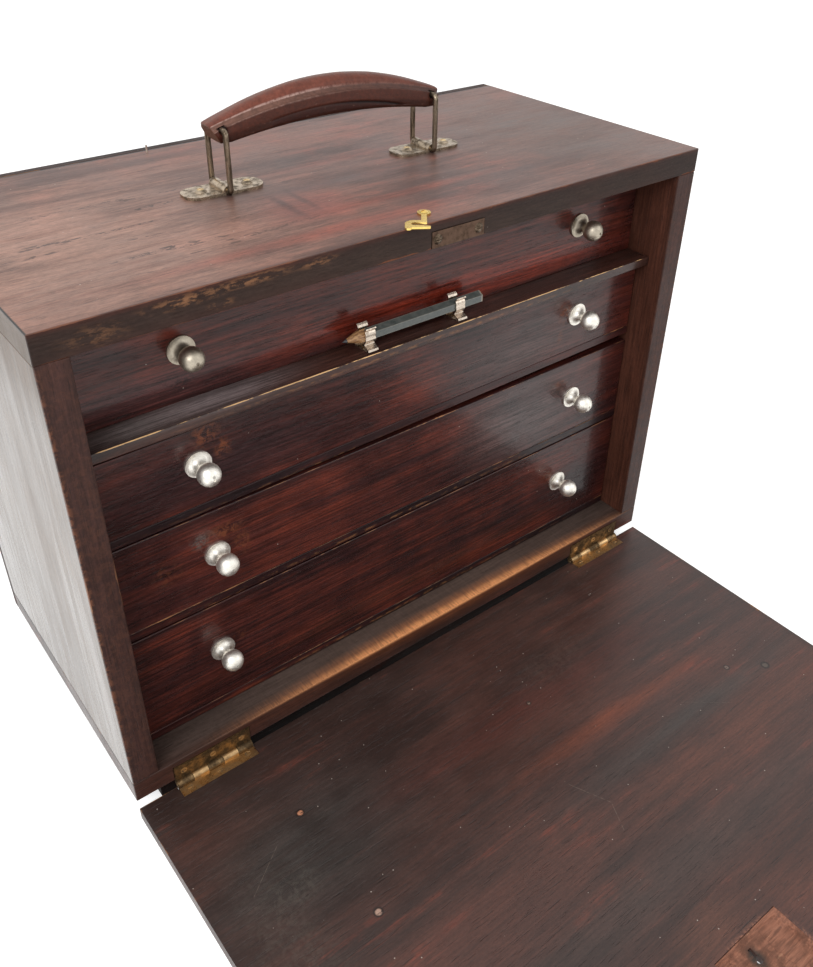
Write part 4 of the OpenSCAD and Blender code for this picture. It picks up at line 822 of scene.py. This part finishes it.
class CHEST_OT_drawers(Operator):
    """Dress the drawers: polished fronts, bottoms that show as a lip, plain sides and backs"""

    bl_idname = "chest.dress_drawers"
    bl_label = "Drawers"
    bl_options = {"REGISTER", "UNDO"}
    rust = (0.185, 0.054, 0.023)
    # near-black colour of the painted knob shadows
    soot_and_shadow = (0.012, 0.008, 0.008)
    gold = (0.98, 0.60, 0.28)
    coats = (0.32, 0.36, 0.42, 0.28)
    # for each drawer: side of the knob, offset along x and z, radii, colour and amount of a mark beside it: the
    # rusty ones are scuffs, the near-black ones are painted shadows of the knob, and drawer 3's grey one is a
    # painted reflection of its knob
    scuffs = {
        1: [(-1, -0.002, -0.018, 0.012, 0.007, soot_and_shadow, 0.7), (1, -0.012, 0.002, 0.010, 0.008, soot_and_shadow, 0.5)],
        2: [
            (-1, 0.006, 0.015, 0.012, 0.012, rust, 1.0), (-1, 0.015, 0.002, 0.007, 0.009, rust, 1.0),
            (1, -0.011, 0.006, 0.009, 0.012, rust, 0.8), (1, -0.013, -0.012, 0.005, 0.010, rust, 0.5),
        ],
        3: [
            (-1, 0.006, 0.013, 0.016, 0.008, rust, 0.8), (-1, 0.016, 0.0, 0.008, 0.012, rust, 0.7),
            # the grey mark is a painted reflection of the knob
            (-1, -0.010, 0.012, 0.008, 0.006, (0.10, 0.09, 0.08), 0.9), (-1, -0.030, 0.0, 0.014, 0.012, rust, 0.4),
            (1, -0.013, 0.006, 0.010, 0.010, soot_and_shadow, 0.9), (1, -0.012, 0.014, 0.009, 0.005, rust, 0.6),
        ],
        4: [(1, -0.010, 0.008, 0.009, 0.008, rust, 0.6), (-1, 0.012, 0.004, 0.006, 0.006, rust, 0.4)],
    }

    def execute(self, context):
        wood = context.scene.chest_wood
        sides = plain_wood("plain_drawer_sides", wood.inner, "Y", 1.4)
        backs = plain_wood("plain_drawer_backs", wood.inner, "X", 2.4)
        tones = three_tones(wood, "front")
        for n in self.scuffs:
            self.front(wood, n, tones)
            self.bottom(wood, n, tones)
            dress(sides, f"drawer_{n}_sides")
            dress(backs, f"drawer_{n}_back")
        return {"FINISHED"}

    def front(self, wood, n, tones):
        """A polished front with rust scuffs and painted knob shadows beside its knobs, a painted knob reflection on
        drawer 3, painted shade along its top, painted reflections on the right of drawers 2 and 3, and its own dark
        and red areas.
        """
        node = f"drawer_{n}_front"
        low, high = where(node)
        knob_low, knob_high = where(f"drawer_{n}_knobs")
        knob_z = (knob_low[2] + knob_high[2]) / 2
        middle = (knob_low[0] + knob_high[0]) / 2
        half = (knob_high[0] - knob_low[0]) / 2 - SCUFF_INSET
        scuffs = [(middle + side * half + x, *rest) for side, x, *rest in self.scuffs[n]]
        tall = high[2] - low[2]
        # painted shade along the top of drawers 2 to 4, under the one above
        shade_under_drawer_above = (0.0, tall + 0.004, 0.5, 0.016, tones[0], 0.8)
        tinted = {
            1: [
                (0.050, 0.012, 0.190, 0.014, (0.235, 0.030, 0.014), 0.95),
                (-0.150, 0.010, 0.090, 0.016, (0.085, 0.030, 0.030), 0.9),
                # painted shadow of the top board along the top
                (0.0, tall, 0.5, 0.020, (0.050, 0.024, 0.021), 0.9),
            ],
            2: [
                # painted reflection on the right half
                shade_under_drawer_above, (0.100, tall / 2, 0.085, 0.050, (0.060, 0.044, 0.043), 0.85),
                (-0.120, 0.022, 0.140, 0.030, (0.022, 0.010, 0.012), 0.9),
            ],
            # painted shade along the top, and a lighter painted reflection on the right half
            3: [shade_under_drawer_above, (0.100, tall / 2, 0.085, 0.050, (0.092, 0.070, 0.068), 0.85)],
            4: [shade_under_drawer_above, (0.170, 0.030, 0.060, 0.060, (0.020, 0.008, 0.009), 0.8)],
        }[n]
        made = stained_wood(
            node + "_polish", (low, high), "X", tones, tuple(wood.worn), cut=10.3 + 1.37 * n, spared="-z -x +x",
            wear=wood.edge_wear * 0.4, wear_width=0.0005, thin_line=0.00030 if n > 1 else 0.0, gloss=0.30,
            coat=self.coats[n - 1], coat_roughness=0.13, coated="-y", specular=0.22,
            scuffed=upright_patches(scuffs, low[1], knob_z), tinted=upright_patches(tinted, low[1], low[2]),
            dust=0.05, run=0.9, bands=(0.30, 0.62), reds=(0.40, 0.70), fibre=(0.50, 1.45), cracks=0.5,
            orange_peel=0.00026,
        )
        eased_board(node, wood.arris * 0.8, made)

    def bottom(self, wood, n, tones):
        """A bottom board. The first one's ledge is brown, with a painted sheen on its left and a bright front arris.
        """
        node = f"drawer_{n}_bottom"
        low, high = where(node)
        worn = tuple(wood.worn)
        look = {"tones": tones, "worn": worn, "spared": "-x +x", "thin_line": 0.00022, "coat": 0.25}
        if n == 1:
            dark, brown, _ = three_tones(wood, "stain")
            look = {
                "tones": (dark, brown, brown), "worn": self.gold, "spared": "-z -x +x", "thin_line": 0.00042,
                "coat": 0.5,
                "tinted": [
                    # painted sheen on the left of the ledge
                    ((-0.130, low[1] + 0.012, high[2]), (0.075, 0.018, 0.003), (0.250, 0.205, 0.205), 0.95),
                    ((-0.175, low[1] + 0.010, high[2]), (0.040, 0.020, 0.003), (0.140, 0.120, 0.115), 0.9),
                ],
            }
        made = stained_wood(
            node + "_polish", (low, high), "X", cut=17.3 + 1.91 * n, wear=0.2, wear_width=0.0004, gloss=0.33,
            coat_roughness=0.16, coated="+z -y", specular=0.20, bands=(0.40, 0.62), fibre=(0.6, 1.35),
            bared=[((0.0, low[1], low[2] + 0.002), (0.22, 0.003, 0.0014), dim(worn, 0.8), 0.55)], **look,
        )
        eased_board(node, wood.arris * 0.6, made)


class CHEST_OT_fittings(Operator):
    """Dress the metal parts"""

    bl_idname = "chest.dress_fittings"
    bl_label = "Fittings"
    bl_options = {"REGISTER", "UNDO"}
    # drawer 1's knobs: a darker copy of the nickel, painted shade under the top board
    dull_nickel = (0.52, 0.46, 0.37)
    # how much painted shade each drawer's knobs have round their necks
    neck_shade_by_drawer = (0.6, 0.15, 0.2, 0.2)

    def execute(self, context):
        metal = context.scene.chest_metal
        tarnish, steel, brass = tuple(metal.tarnish), tuple(metal.steel), tuple(metal.brass)
        for n, neck_shade in enumerate(self.neck_shade_by_drawer, 1):
            low, high = where(f"drawer_{n}_knobs")
            face = where(f"drawer_{n}_front")[0][1]
            half_apart = (high[0] - low[0]) / 2 - KNOB_FOOT
            knob = ((low[0] + high[0]) / 2, half_apart, face, (low[2] + high[2]) / 2, neck_shade)
            made = old_metal(
                f"drawer_{n}_nickel", self.dull_nickel if n == 1 else metal.nickel, (0.42, 0.33, 0.24), (0.56, 0.80),
                (0.40, 0.50), 0.006, 0.00005, knob=tuple(float(v) for v in knob),
            )
            dress(made, f"drawer_{n}_knobs")
        screw_top = float(where("handle_screws")[1][2])
        capped = {"dome": (screw_top - 0.0004, (0.86, 0.66, 0.38))}
        plate = ((0.42, 0.64), (0.20, 0.38), 0.0040, 0.00016)
        # name, clean metal, tarnish, tarnished share, roughness, size of the spots, pits, settings if any, nodes
        for name, clean, dirt_and_shade, amount, roughness, size, pits, *rest in (
            ("clip_nickel", (0.70, 0.60, 0.50), (0.16, 0.10, 0.06), (0.50, 0.66), (0.22, 0.36), 0.0022, 0.00004,
             "clip_left", "clip_right"),
            ("handle_plate_left_steel", dim(steel, 1.1), dim(tarnish, 1.4), *plate, "handle_plate_left"),
            ("handle_plate_right_steel", dim(steel, 0.88), dim(tarnish, 1.4), *plate, "handle_plate_right"),
            ("loop_wire", dim(steel, 0.68), tarnish, (0.40, 0.60), (0.24, 0.40), 0.0016, 0.00008, {"drawn": "Z"},
             "loop_left", "loop_right"),
            ("hidden_steel", dim(steel, 0.8), tarnish, (0.46, 0.62), (0.30, 0.46), 0.005, 0.00006, "grip_core",
             "bearer_screws", "runner_screws"),
            ("capped_screws", dim(steel, 0.9), tarnish, (0.46, 0.66), (0.28, 0.44), 0.003, 0.00008, capped,
             "handle_screws"),
            ("aged_brass", brass, dim(tarnish, 2.0), (0.40, 0.72), (0.22, 0.40), 0.0075, 0.00014,
             "hinge_leaves_flap", "hinge_pins"),
            ("shaded_brass", dim(brass, 0.56), tarnish, (0.34, 0.60), (0.26, 0.46), 0.0075, 0.00014,
             "hinge_leaves_case"),
            ("screw_brass", (0.66, 0.47, 0.27), tarnish, (0.46, 0.66), (0.24, 0.40), 0.0024, 0.00006, "clip_screws",
             "hinge_screws_case", "hinge_screws_flap", *(f"drawer_{n}_knob_screws" for n in (1, 2, 3, 4))),
            ("dark_brass", (0.125, 0.075, 0.052), dim(tarnish, 0.9), (0.46, 0.72), (0.40, 0.55), 0.004, 0.00008,
             "strike_plate"),
            ("strike_screw_steel", (0.16, 0.115, 0.08), dim(tarnish, 0.7), (0.44, 0.60), (0.24, 0.40), 0.0020,
             0.00010, "strike_screws"),
            ("bright_brass", tuple(metal.new_brass), (0.40, 0.22, 0.05), (0.56, 0.78), (0.20, 0.32), 0.004, 0.00003,
             "hook", "hook_pivot_screw", "hook_peg"),
            ("pale_pin", (0.93, 0.88, 0.78), (0.40, 0.30, 0.20), (0.56, 0.78), (0.24, 0.36), 0.002, 0.00006,
             "back_pin"),
        ):
            special = rest.pop(0) if isinstance(rest[0], dict) else {}
            dress(old_metal(name, clean, dirt_and_shade, amount, roughness, size, pits, **special), *rest)
        return {"FINISHED"}


class CHEST_OT_pencil(Operator):
    """Dress the pencil: painted barrel, sharpened wood and lead"""

    bl_idname = "chest.dress_pencil"
    bl_label = "Pencil"
    bl_options = {"REGISTER", "UNDO"}
    cone = 0.0125  # length of the sharpened end

    def execute(self, context):
        low, high = where("pencil_barrel")
        corner = (high[2] - low[2]) / 2
        f = Finish("pencil_paint", coat=0.4, coat_roughness=0.2)
        x, y, z = f.parts(f.place)
        radius = f.distance(f.minus(y, (low[1] + high[1]) / 2), f.minus(z, (low[2] + high[2]) / 2))
        cone_radius = f.times(f.minus(x, low[0]), corner / self.cone)
        cut = f.span(f.minus(cone_radius, radius), 0.00009, 0.00005)
        end = f.span(x, high[0] - 0.0002, high[0] - 0.0001)
        grain = f.noise(f.drawn("X", 14.0), 0.0009, 4.0, 0.6)
        cedar = f.mix(f.span(grain, 0.34, 0.66), (0.20, 0.090, 0.035), (0.48, 0.27, 0.12))
        smudge = f.noise(f.place, 0.004, 5.0, 0.62)
        paint = f.mix(f.span(smudge, 0.36, 0.66), (0.058, 0.068, 0.064), (0.096, 0.104, 0.096))
        ridge = f.span(radius, 0.955 * corner, 0.99 * corner)
        rim = f.span(f.size(f.minus(x, high[0] - 0.0007)), 0.0006, 0.0003)
        paint = f.mix(f.most(f.times(ridge, 0.4), f.times(rim, 0.7)), paint, (0.34, 0.31, 0.26))
        chipped = f.span(f.noise(f.place, 0.0011, 3.0, 0.6), 0.70, 0.74)
        f.colour = f.mix(f.most(cut, end), f.mix(f.times(chipped, 0.8), paint, cedar), cedar)
        rough = f.plus(f.span(smudge, 0.3, 0.7, 0.26, 0.42), f.times(cut, 0.25))
        dress(f.finish(rough, f.bump(f.plus(grain, smudge), 0.00005, 0.6)), "pencil_barrel")
        g = Finish("graphite")
        grit = g.noise(g.place, 0.0008, 4.0, 0.6)
        g.colour = g.mix(g.span(grit, 0.3, 0.7), (0.02, 0.02, 0.022), (0.07, 0.07, 0.075))
        dress(g.finish(g.span(grit, 0.3, 0.7, 0.3, 0.5), g.bump(grit, 0.00003, 0.6)), "pencil_lead")
        return {"FINISHED"}


class CHEST_OT_grip(Operator):
    """Build the leather grip: a creased and crowned bar that is rolled round a wire at each end"""

    bl_idname = "chest.build_grip"
    bl_label = "Leather grip"
    bl_options = {"REGISTER", "UNDO"}
    end_at, end_slant = 0.07532, 0.536  # half the grip's length at the wires' height, and its gain per rise

    def execute(self, context):
        look = context.scene.chest_grip
        left_at, right_at = (
            np.array(next(j["pos_m"] for j in frame["joints"] if j["name"] == name))
            for name in ("grip_hinge", "loop_right_hinge")
        )
        middle = np.array([(left_at[0] + right_at[0]) / 2, (left_at[1] + right_at[1]) / 2, left_at[2]])
        along = np.array([right_at[0] - left_at[0], right_at[1] - left_at[1], 0.0])
        half_span = np.linalg.norm(along) / 2
        along /= np.linalg.norm(along)
        across = np.array([-along[1], along[0], 0.0])
        points, faces, marks = self.shape(look.stations, half_span, look.ridge)
        placed = middle + points[:, :1] * along + points[:, 1:2] * across + points[:, 2:] * np.array([0, 0, 1.0])
        made = self.leather(look, middle, along, half_span)
        piece = new_piece("leather_grip", placed, faces, made, "grip", 50.0, marks)
        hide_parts("grip")
        return {"FINISHED"}

    def shape(self, stations, half_span, ridge):
        """Points x along, y across and z above the wires, the faces, and marks at the points for the leather.
        Five lines run along the grip, each falling with the square of the share far from the middle: the crown
        19.2 - 14.0 far, the fold 13.4 - 9.8 far, the rim 11.2 - 9.9 far, the underside -0.8 - 6.9 far down to -6.8,
        and the half width 10.6 - 1.5 far, in millimetres. A section is a closed ring: flat below, a round corner,
        the side up to the rim, a hollow slanting band up to the fold at 0.66 of the half width, and a domed crown.
        The ends are cut by a plane that slants outward as it rises. A groove is pressed into the front along an arc,
        with a raised lip below it."""
        reach = half_span + 0.0060
        x = np.sin(np.linspace(-math.pi / 2, math.pi / 2, stations)) * reach
        far = (x / half_span) ** 2
        rounding = np.clip((np.abs(x) - (reach - 0.0014)) / 0.0014, 0, 1)
        inset = 0.0011 * (1 - np.sqrt(np.clip(1 - rounding**2, 0, 1)))
        crown = (0.0192 - 0.0140 * far - inset)[:, None]
        fold = (0.0134 - 0.0098 * far - inset)[:, None]
        rim = (0.0112 - 0.0099 * far - inset)[:, None]
        under = (-0.0008 - np.minimum(0.0069 * far, 0.0060) + inset)[:, None]
        half = (0.0106 - 0.0015 * far - inset)[:, None]
        corner = 0.0015
        dip = 0.0005 * ridge / 0.6

        # half a ring from the middle of the underside to the middle of the crown: y, z and level in each column
        v = np.linspace(0, 1, 10, endpoint=False)
        ring = [((half - corner) * v, under + 0 * v, 0 * v)]
        v = np.linspace(0, math.pi / 2, 6, endpoint=False)
        ring.append((half - corner * (1 - np.sin(v)), under + corner * (1 - np.cos(v)), 0 * v))
        v = np.linspace(0, 1, 28, endpoint=False)
        ring.append((half * (1 + 0.02 * np.sin(math.pi * v)), under + corner + (rim - under - corner) * v, v))
        v = np.linspace(0, 1, 14, endpoint=False)
        hollow = dip * np.sin(math.pi * v)
        ring.append((half * (1 - 0.34 * v) - hollow, rim + (fold - rim) * v - 1.2 * hollow, 1 + v))
        v = np.linspace(0, 1, 18)
        rise = np.sin(0.5 * math.pi * v) ** 0.9
        ring.append((0.66 * half * np.cos(0.5 * math.pi * v), fold + (crown - fold) * rise, 2 + v))
        y, z, level = (np.hstack(part) for part in zip(*ring))
        y = np.hstack([y, -y[:, -2:0:-1]])
        z = np.hstack([z, z[:, -2:0:-1]])
        level = np.concatenate([level, level[-2:0:-1]])[None, :]
        xs = np.repeat(x[:, None], y.shape[1], 1)

        rng = np.random.default_rng(5)
        swell = np.zeros_like(y)
        for _ in range(18):
            wave = rng.normal(0, 90.0)
            swell += np.sin(wave * xs + rng.uniform(0, math.tau) + 3 * level * rng.normal())
        swell = np.abs(swell) * 0.000025
        y = y * (1 - swell * 60)
        z = z - swell * np.clip(level, 0, 1)
        on_front = (y < 0) * np.clip(level / 0.04, 0, 1) * np.clip((1.0 - level) / 0.1, 0, 1)
        line = 0.0047 - 0.010 * ((xs + 0.004) / 0.060) ** 2
        shown = on_front * np.clip((xs + 0.043) / 0.006, 0, 1) * np.clip((0.058 - xs) / 0.006, 0, 1)
        deep = 0.45 + 0.55 * np.clip((xs + 0.010) / 0.025, 0, 1)
        groove = shown * deep * np.exp(-(((z - line) / 0.00075) ** 2))
        lip = shown * np.clip((line - z) / 0.0006, 0, 1) * np.clip((0.0042 + z - line) / 0.0006, 0, 1)
        near_wire = np.hypot(np.abs(xs) - half_span, z - 0.00045)
        eyelet = np.clip((0.0032 - near_wire) / 0.0010, 0, 1) * (np.abs(y) > 0.75 * half)
        y = y + 0.0007 * groove - 0.00025 * lip - 0.0009 * np.sign(y) * eyelet
        slant = np.clip((np.abs(xs) - 0.062) / (reach - 0.062), 0, 1) ** 2
        xs = xs + np.sign(xs) * slant * (self.end_at + self.end_slant * z - reach)

        around = y.shape[1]
        sides = grid_faces(stations, around, closed=True).tolist()
        caps = [list(range(around))[::-1], list(range((stations - 1) * around, stations * around))]
        marks = {"level": np.broadcast_to(level, y.shape), "groove": groove, "lip": lip, "eyelet": eyelet}
        return np.stack([xs, y, z], -1).reshape(-1, 3), sides + caps, marks

    def leather(self, look, middle, along, half_span):
        """Smooth old leather, coloured by the marks at the points: dark red-brown sides that are darker below, a
        pale band, partly rubbed and partly a painted sheen, a rubbed red-brown crown with a painted sheen along its
        top edge, painted highlights along the creases, painted shade in the groove, over the lip below it and in the
        eyelets round the wires, and lighter cut ends. The grain is a fine cell pattern with a few wrinkles across
        the grip."""
        f = Finish("grip_leather", coat=0.12, coat_roughness=0.22, specular=0.20)
        level, groove, lip, eyelet = (
            f.node("ShaderNodeAttribute", attribute_name=name).outputs["Fac"]
            for name in ("level", "groove", "lip", "eyelet")
        )
        rise = f.minus(f.parts(f.place)[2], float(middle[2]))
        at = f.vector("DOT_PRODUCT", f.vector("SUBTRACT", f.place, tuple(middle)), tuple(along), out="Value")
        cloud = f.noise(f.place, 0.012, 4.0, 0.6)
        fine = f.noise(f.place, 0.0021, 5.0, 0.65)
        rightward = f.span(at, -half_span, half_span)
        side = f.mix(f.span(level, 0.20, 0.50), dim(look.hide_dark, 0.55), tuple(look.hide_dark))
        # painted shade over the lip below the groove
        side = f.mix(f.times(lip, 0.8), side, (0.042, 0.013, 0.010))
        # the band's pale colour is partly rubbed leather and partly a painted sheen, strongest on the left
        band = f.mix(rightward, (0.175, 0.085, 0.062), (0.075, 0.030, 0.022))
        crown = f.mix(rightward, dim(look.hide_red, 1.12), dim(look.hide_red, 0.82))
        # painted sheen along the crown's top edge
        crown = f.mix(f.span(level, 2.70, 3.0, 0.0, 0.5), crown, (0.23, 0.115, 0.082))
        f.colour = f.mix(f.span(level, 0.94, 1.02), side, band)
        f.over(f.span(level, 1.90, 2.06), crown)
        f.shade(f.span(cloud, 0.3, 0.7, 0.84, 1.12))
        f.shade(f.span(fine, 0.3, 0.7, 0.78, 1.20))
        scuff = f.span(f.noise(f.drawn("X", 3.0), 0.0016, 4.0, 0.66), 0.62, 0.72, 0.0, 0.35)
        f.over(scuff, (0.24, 0.14, 0.105))
        # painted highlights along the creases, mostly on the left part
        low_crease = f.span(f.size(f.minus(level, 0.99)), 0.10, 0.0)
        high_crease = f.span(f.size(f.minus(level, 2.02)), 0.14, 0.0)
        crease = f.times(f.most(f.times(low_crease, 0.35), high_crease), f.span(at, 0.015, -0.030, 0.15, 1.0))
        crease = f.times(crease, f.span(fine, 0.38, 0.58, 0.25, 0.9))
        f.over(crease, (0.56, 0.38, 0.33))
        cut_end = f.minus(f.size(at), f.plus(self.end_at, f.times(rise, self.end_slant)))
        f.over(f.span(cut_end, -0.00050, -0.00005), (0.125, 0.058, 0.036))
        # painted shade in the groove and in the eyelets round the wires
        f.over(f.most(f.times(groove, 0.95), eyelet), (0.008, 0.004, 0.004))
        cells = f.node("ShaderNodeTexVoronoi", {"Vector": f.place, "Scale": 1400.0}, feature="SMOOTH_F1")
        wrinkles = f.noise(f.drawn("Y", 9.0), 0.0017, 3.0, 0.55)
        normal = f.bump(cells.outputs["Distance"], 0.00005, 0.8)
        normal = f.bump(f.plus(wrinkles, f.times(cloud, 1.5)), 0.00018, 0.9, normal)
        return f.finish(f.plus(f.span(fine, 0.3, 0.7, 0.36, 0.52), f.times(f.most(groove, lip), 0.4)), normal)


class CHEST_OT_stage(Operator):
    """Set the floor, the plain light and the camera"""

    bl_idname = "chest.set_stage"
    bl_label = "Stage"
    bl_options = {"REGISTER", "UNDO"}
    half_floor = 4.0
    aim = Vector((0.0, 0.0, 0.15))  # the point that both lamps are turned to
    # the photograph's camera: the picture's right, down and forward in the part's frame, and its place
    right = Vector((0.7886866, -0.6146849, 0.0116617))
    down = Vector((-0.3332187, -0.4433313, -0.8321194))
    forward = Vector((0.5166612, 0.6523954, -0.5544740))
    camera_at = (-0.3040002, -0.3110865, 0.4989641)

    def execute(self, context):
        scene = context.scene
        look = scene.chest_stage
        self.camera(scene, look)
        self.floor(scene)
        self.light(scene, look)
        scene.view_settings.view_transform = "Standard"
        return {"FINISHED"}

    def camera(self, scene, look):
        lens = bpy.data.cameras.new("camera")
        lens.sensor_width = 36.0
        lens.lens = look.focal
        lens.shift_x, lens.shift_y = -0.005355, -0.048173
        lens.clip_start, lens.clip_end = 0.02, 20.0
        seen = bpy.data.objects.new("camera", lens)
        turn = Matrix((self.right, -self.down, -self.forward)).transposed().to_4x4()
        seen.matrix_world = Matrix.Translation(self.camera_at) @ turn
        scene.collection.objects.link(seen)
        scene.camera = seen

    @staticmethod
    def seen_white(shader):
        """One for what the camera, gloss and glass see, and nought for light on its way."""
        path = shader.node("ShaderNodeLightPath").outputs
        return shader.most(*(path[f"Is {kind} Ray"] for kind in ("Camera", "Glossy", "Transmission")))

    def floor(self, scene):
        """A pale floor that glows a little to the camera, so that its far part fades into the light."""
        mesh = bpy.data.meshes.new("floor")
        size = self.half_floor
        corners = [(-size, -size), (size, -size), (size, size), (-size, size)]
        mesh.from_pydata([(x, y, -0.0002) for x, y in corners], [], [(0, 1, 2, 3)])
        floor = bpy.data.objects.new("floor", mesh)
        scene.collection.objects.link(floor)
        made = bpy.data.materials.new("pale_floor")
        made.use_nodes = True
        f = Shader(made.node_tree)
        matt = f.node("ShaderNodeBsdfDiffuse", {"Color": (0.86, 0.86, 0.85)})
        glow = f.node("ShaderNodeEmission", {"Color": (1, 1, 1), "Strength": f.times(self.seen_white(f), 0.62)})
        both = f.node("ShaderNodeAddShader", {0: matt.outputs[0], 1: glow.outputs[0]})
        f.node("ShaderNodeOutputMaterial", {0: both.outputs[0]})
        mesh.materials.append(made)

    def light(self, scene, look):
        """A plain sky, white where it is seen, a soft lamp on the left and a weaker one on the right."""
        scene.world = bpy.data.worlds.new("plain_light")
        scene.world.use_nodes = True
        f = Shader(scene.world.node_tree)
        strength = f.node("ShaderNodeMapRange", {"Value": self.seen_white(f), "To Min": look.sky, "To Max": 1.0})
        sky = f.node("ShaderNodeBackground", {"Color": (1, 1, 1), "Strength": strength.outputs[0]})
        f.node("ShaderNodeOutputWorld", {0: sky.outputs[0]})
        for name, at, size, power in (
            ("soft_lamp", (-0.85, -0.45, 1.00), 0.8, look.lamp),
            ("side_lamp", (1.1, -1.1, 1.1), 1.0, look.lamp * 0.35),
        ):
            lamp = bpy.data.lights.new(name, "AREA")
            lamp.shape = "DISK"
            lamp.size = size
            lamp.energy = power
            placed = bpy.data.objects.new(name, lamp)
            placed.location = at
            placed.rotation_mode = "QUATERNION"
            placed.rotation_quaternion = (self.aim - Vector(at)).to_track_quat("-Z", "Y")
            scene.collection.objects.link(placed)


class CHEST_PT_panel(Panel):
    """Lists the steps that build the chest"""

    bl_label = "Tool chest"
    bl_idname = "CHEST_PT_panel"
    bl_space_type = "VIEW_3D"
    bl_region_type = "UI"
    bl_category = "Tool chest"

    def draw(self, context):
        for step in STEPS:
            self.layout.operator(step.bl_idname)


STEPS = (
    CHEST_OT_stage,
    CHEST_OT_case,
    CHEST_OT_flap,
    CHEST_OT_drawers,
    CHEST_OT_fittings,
    CHEST_OT_pencil,
    CHEST_OT_grip,
)
GROUPS = {
    "chest_wood": ChestWood,
    "chest_metal": ChestMetal,
    "chest_grip": ChestGrip,
    "chest_stage": ChestStage,
}


def register():
    for kind in (*GROUPS.values(), *STEPS, CHEST_PT_panel):
        bpy.utils.register_class(kind)
    for name, group in GROUPS.items():
        setattr(bpy.types.Scene, name, PointerProperty(type=group))


def unregister():
    for name in GROUPS:
        delattr(bpy.types.Scene, name)
    for kind in reversed((*GROUPS.values(), *STEPS, CHEST_PT_panel)):
        bpy.utils.unregister_class(kind)


def main():
    """Builds the pieces in order."""
    register()
    for step in STEPS:
        area, name = step.bl_idname.split(".")
        if getattr(getattr(bpy.ops, area), name)() != {"FINISHED"}:
            raise RuntimeError(f"{step.bl_label} wasn't built")


if __name__ == "__main__":
    main()
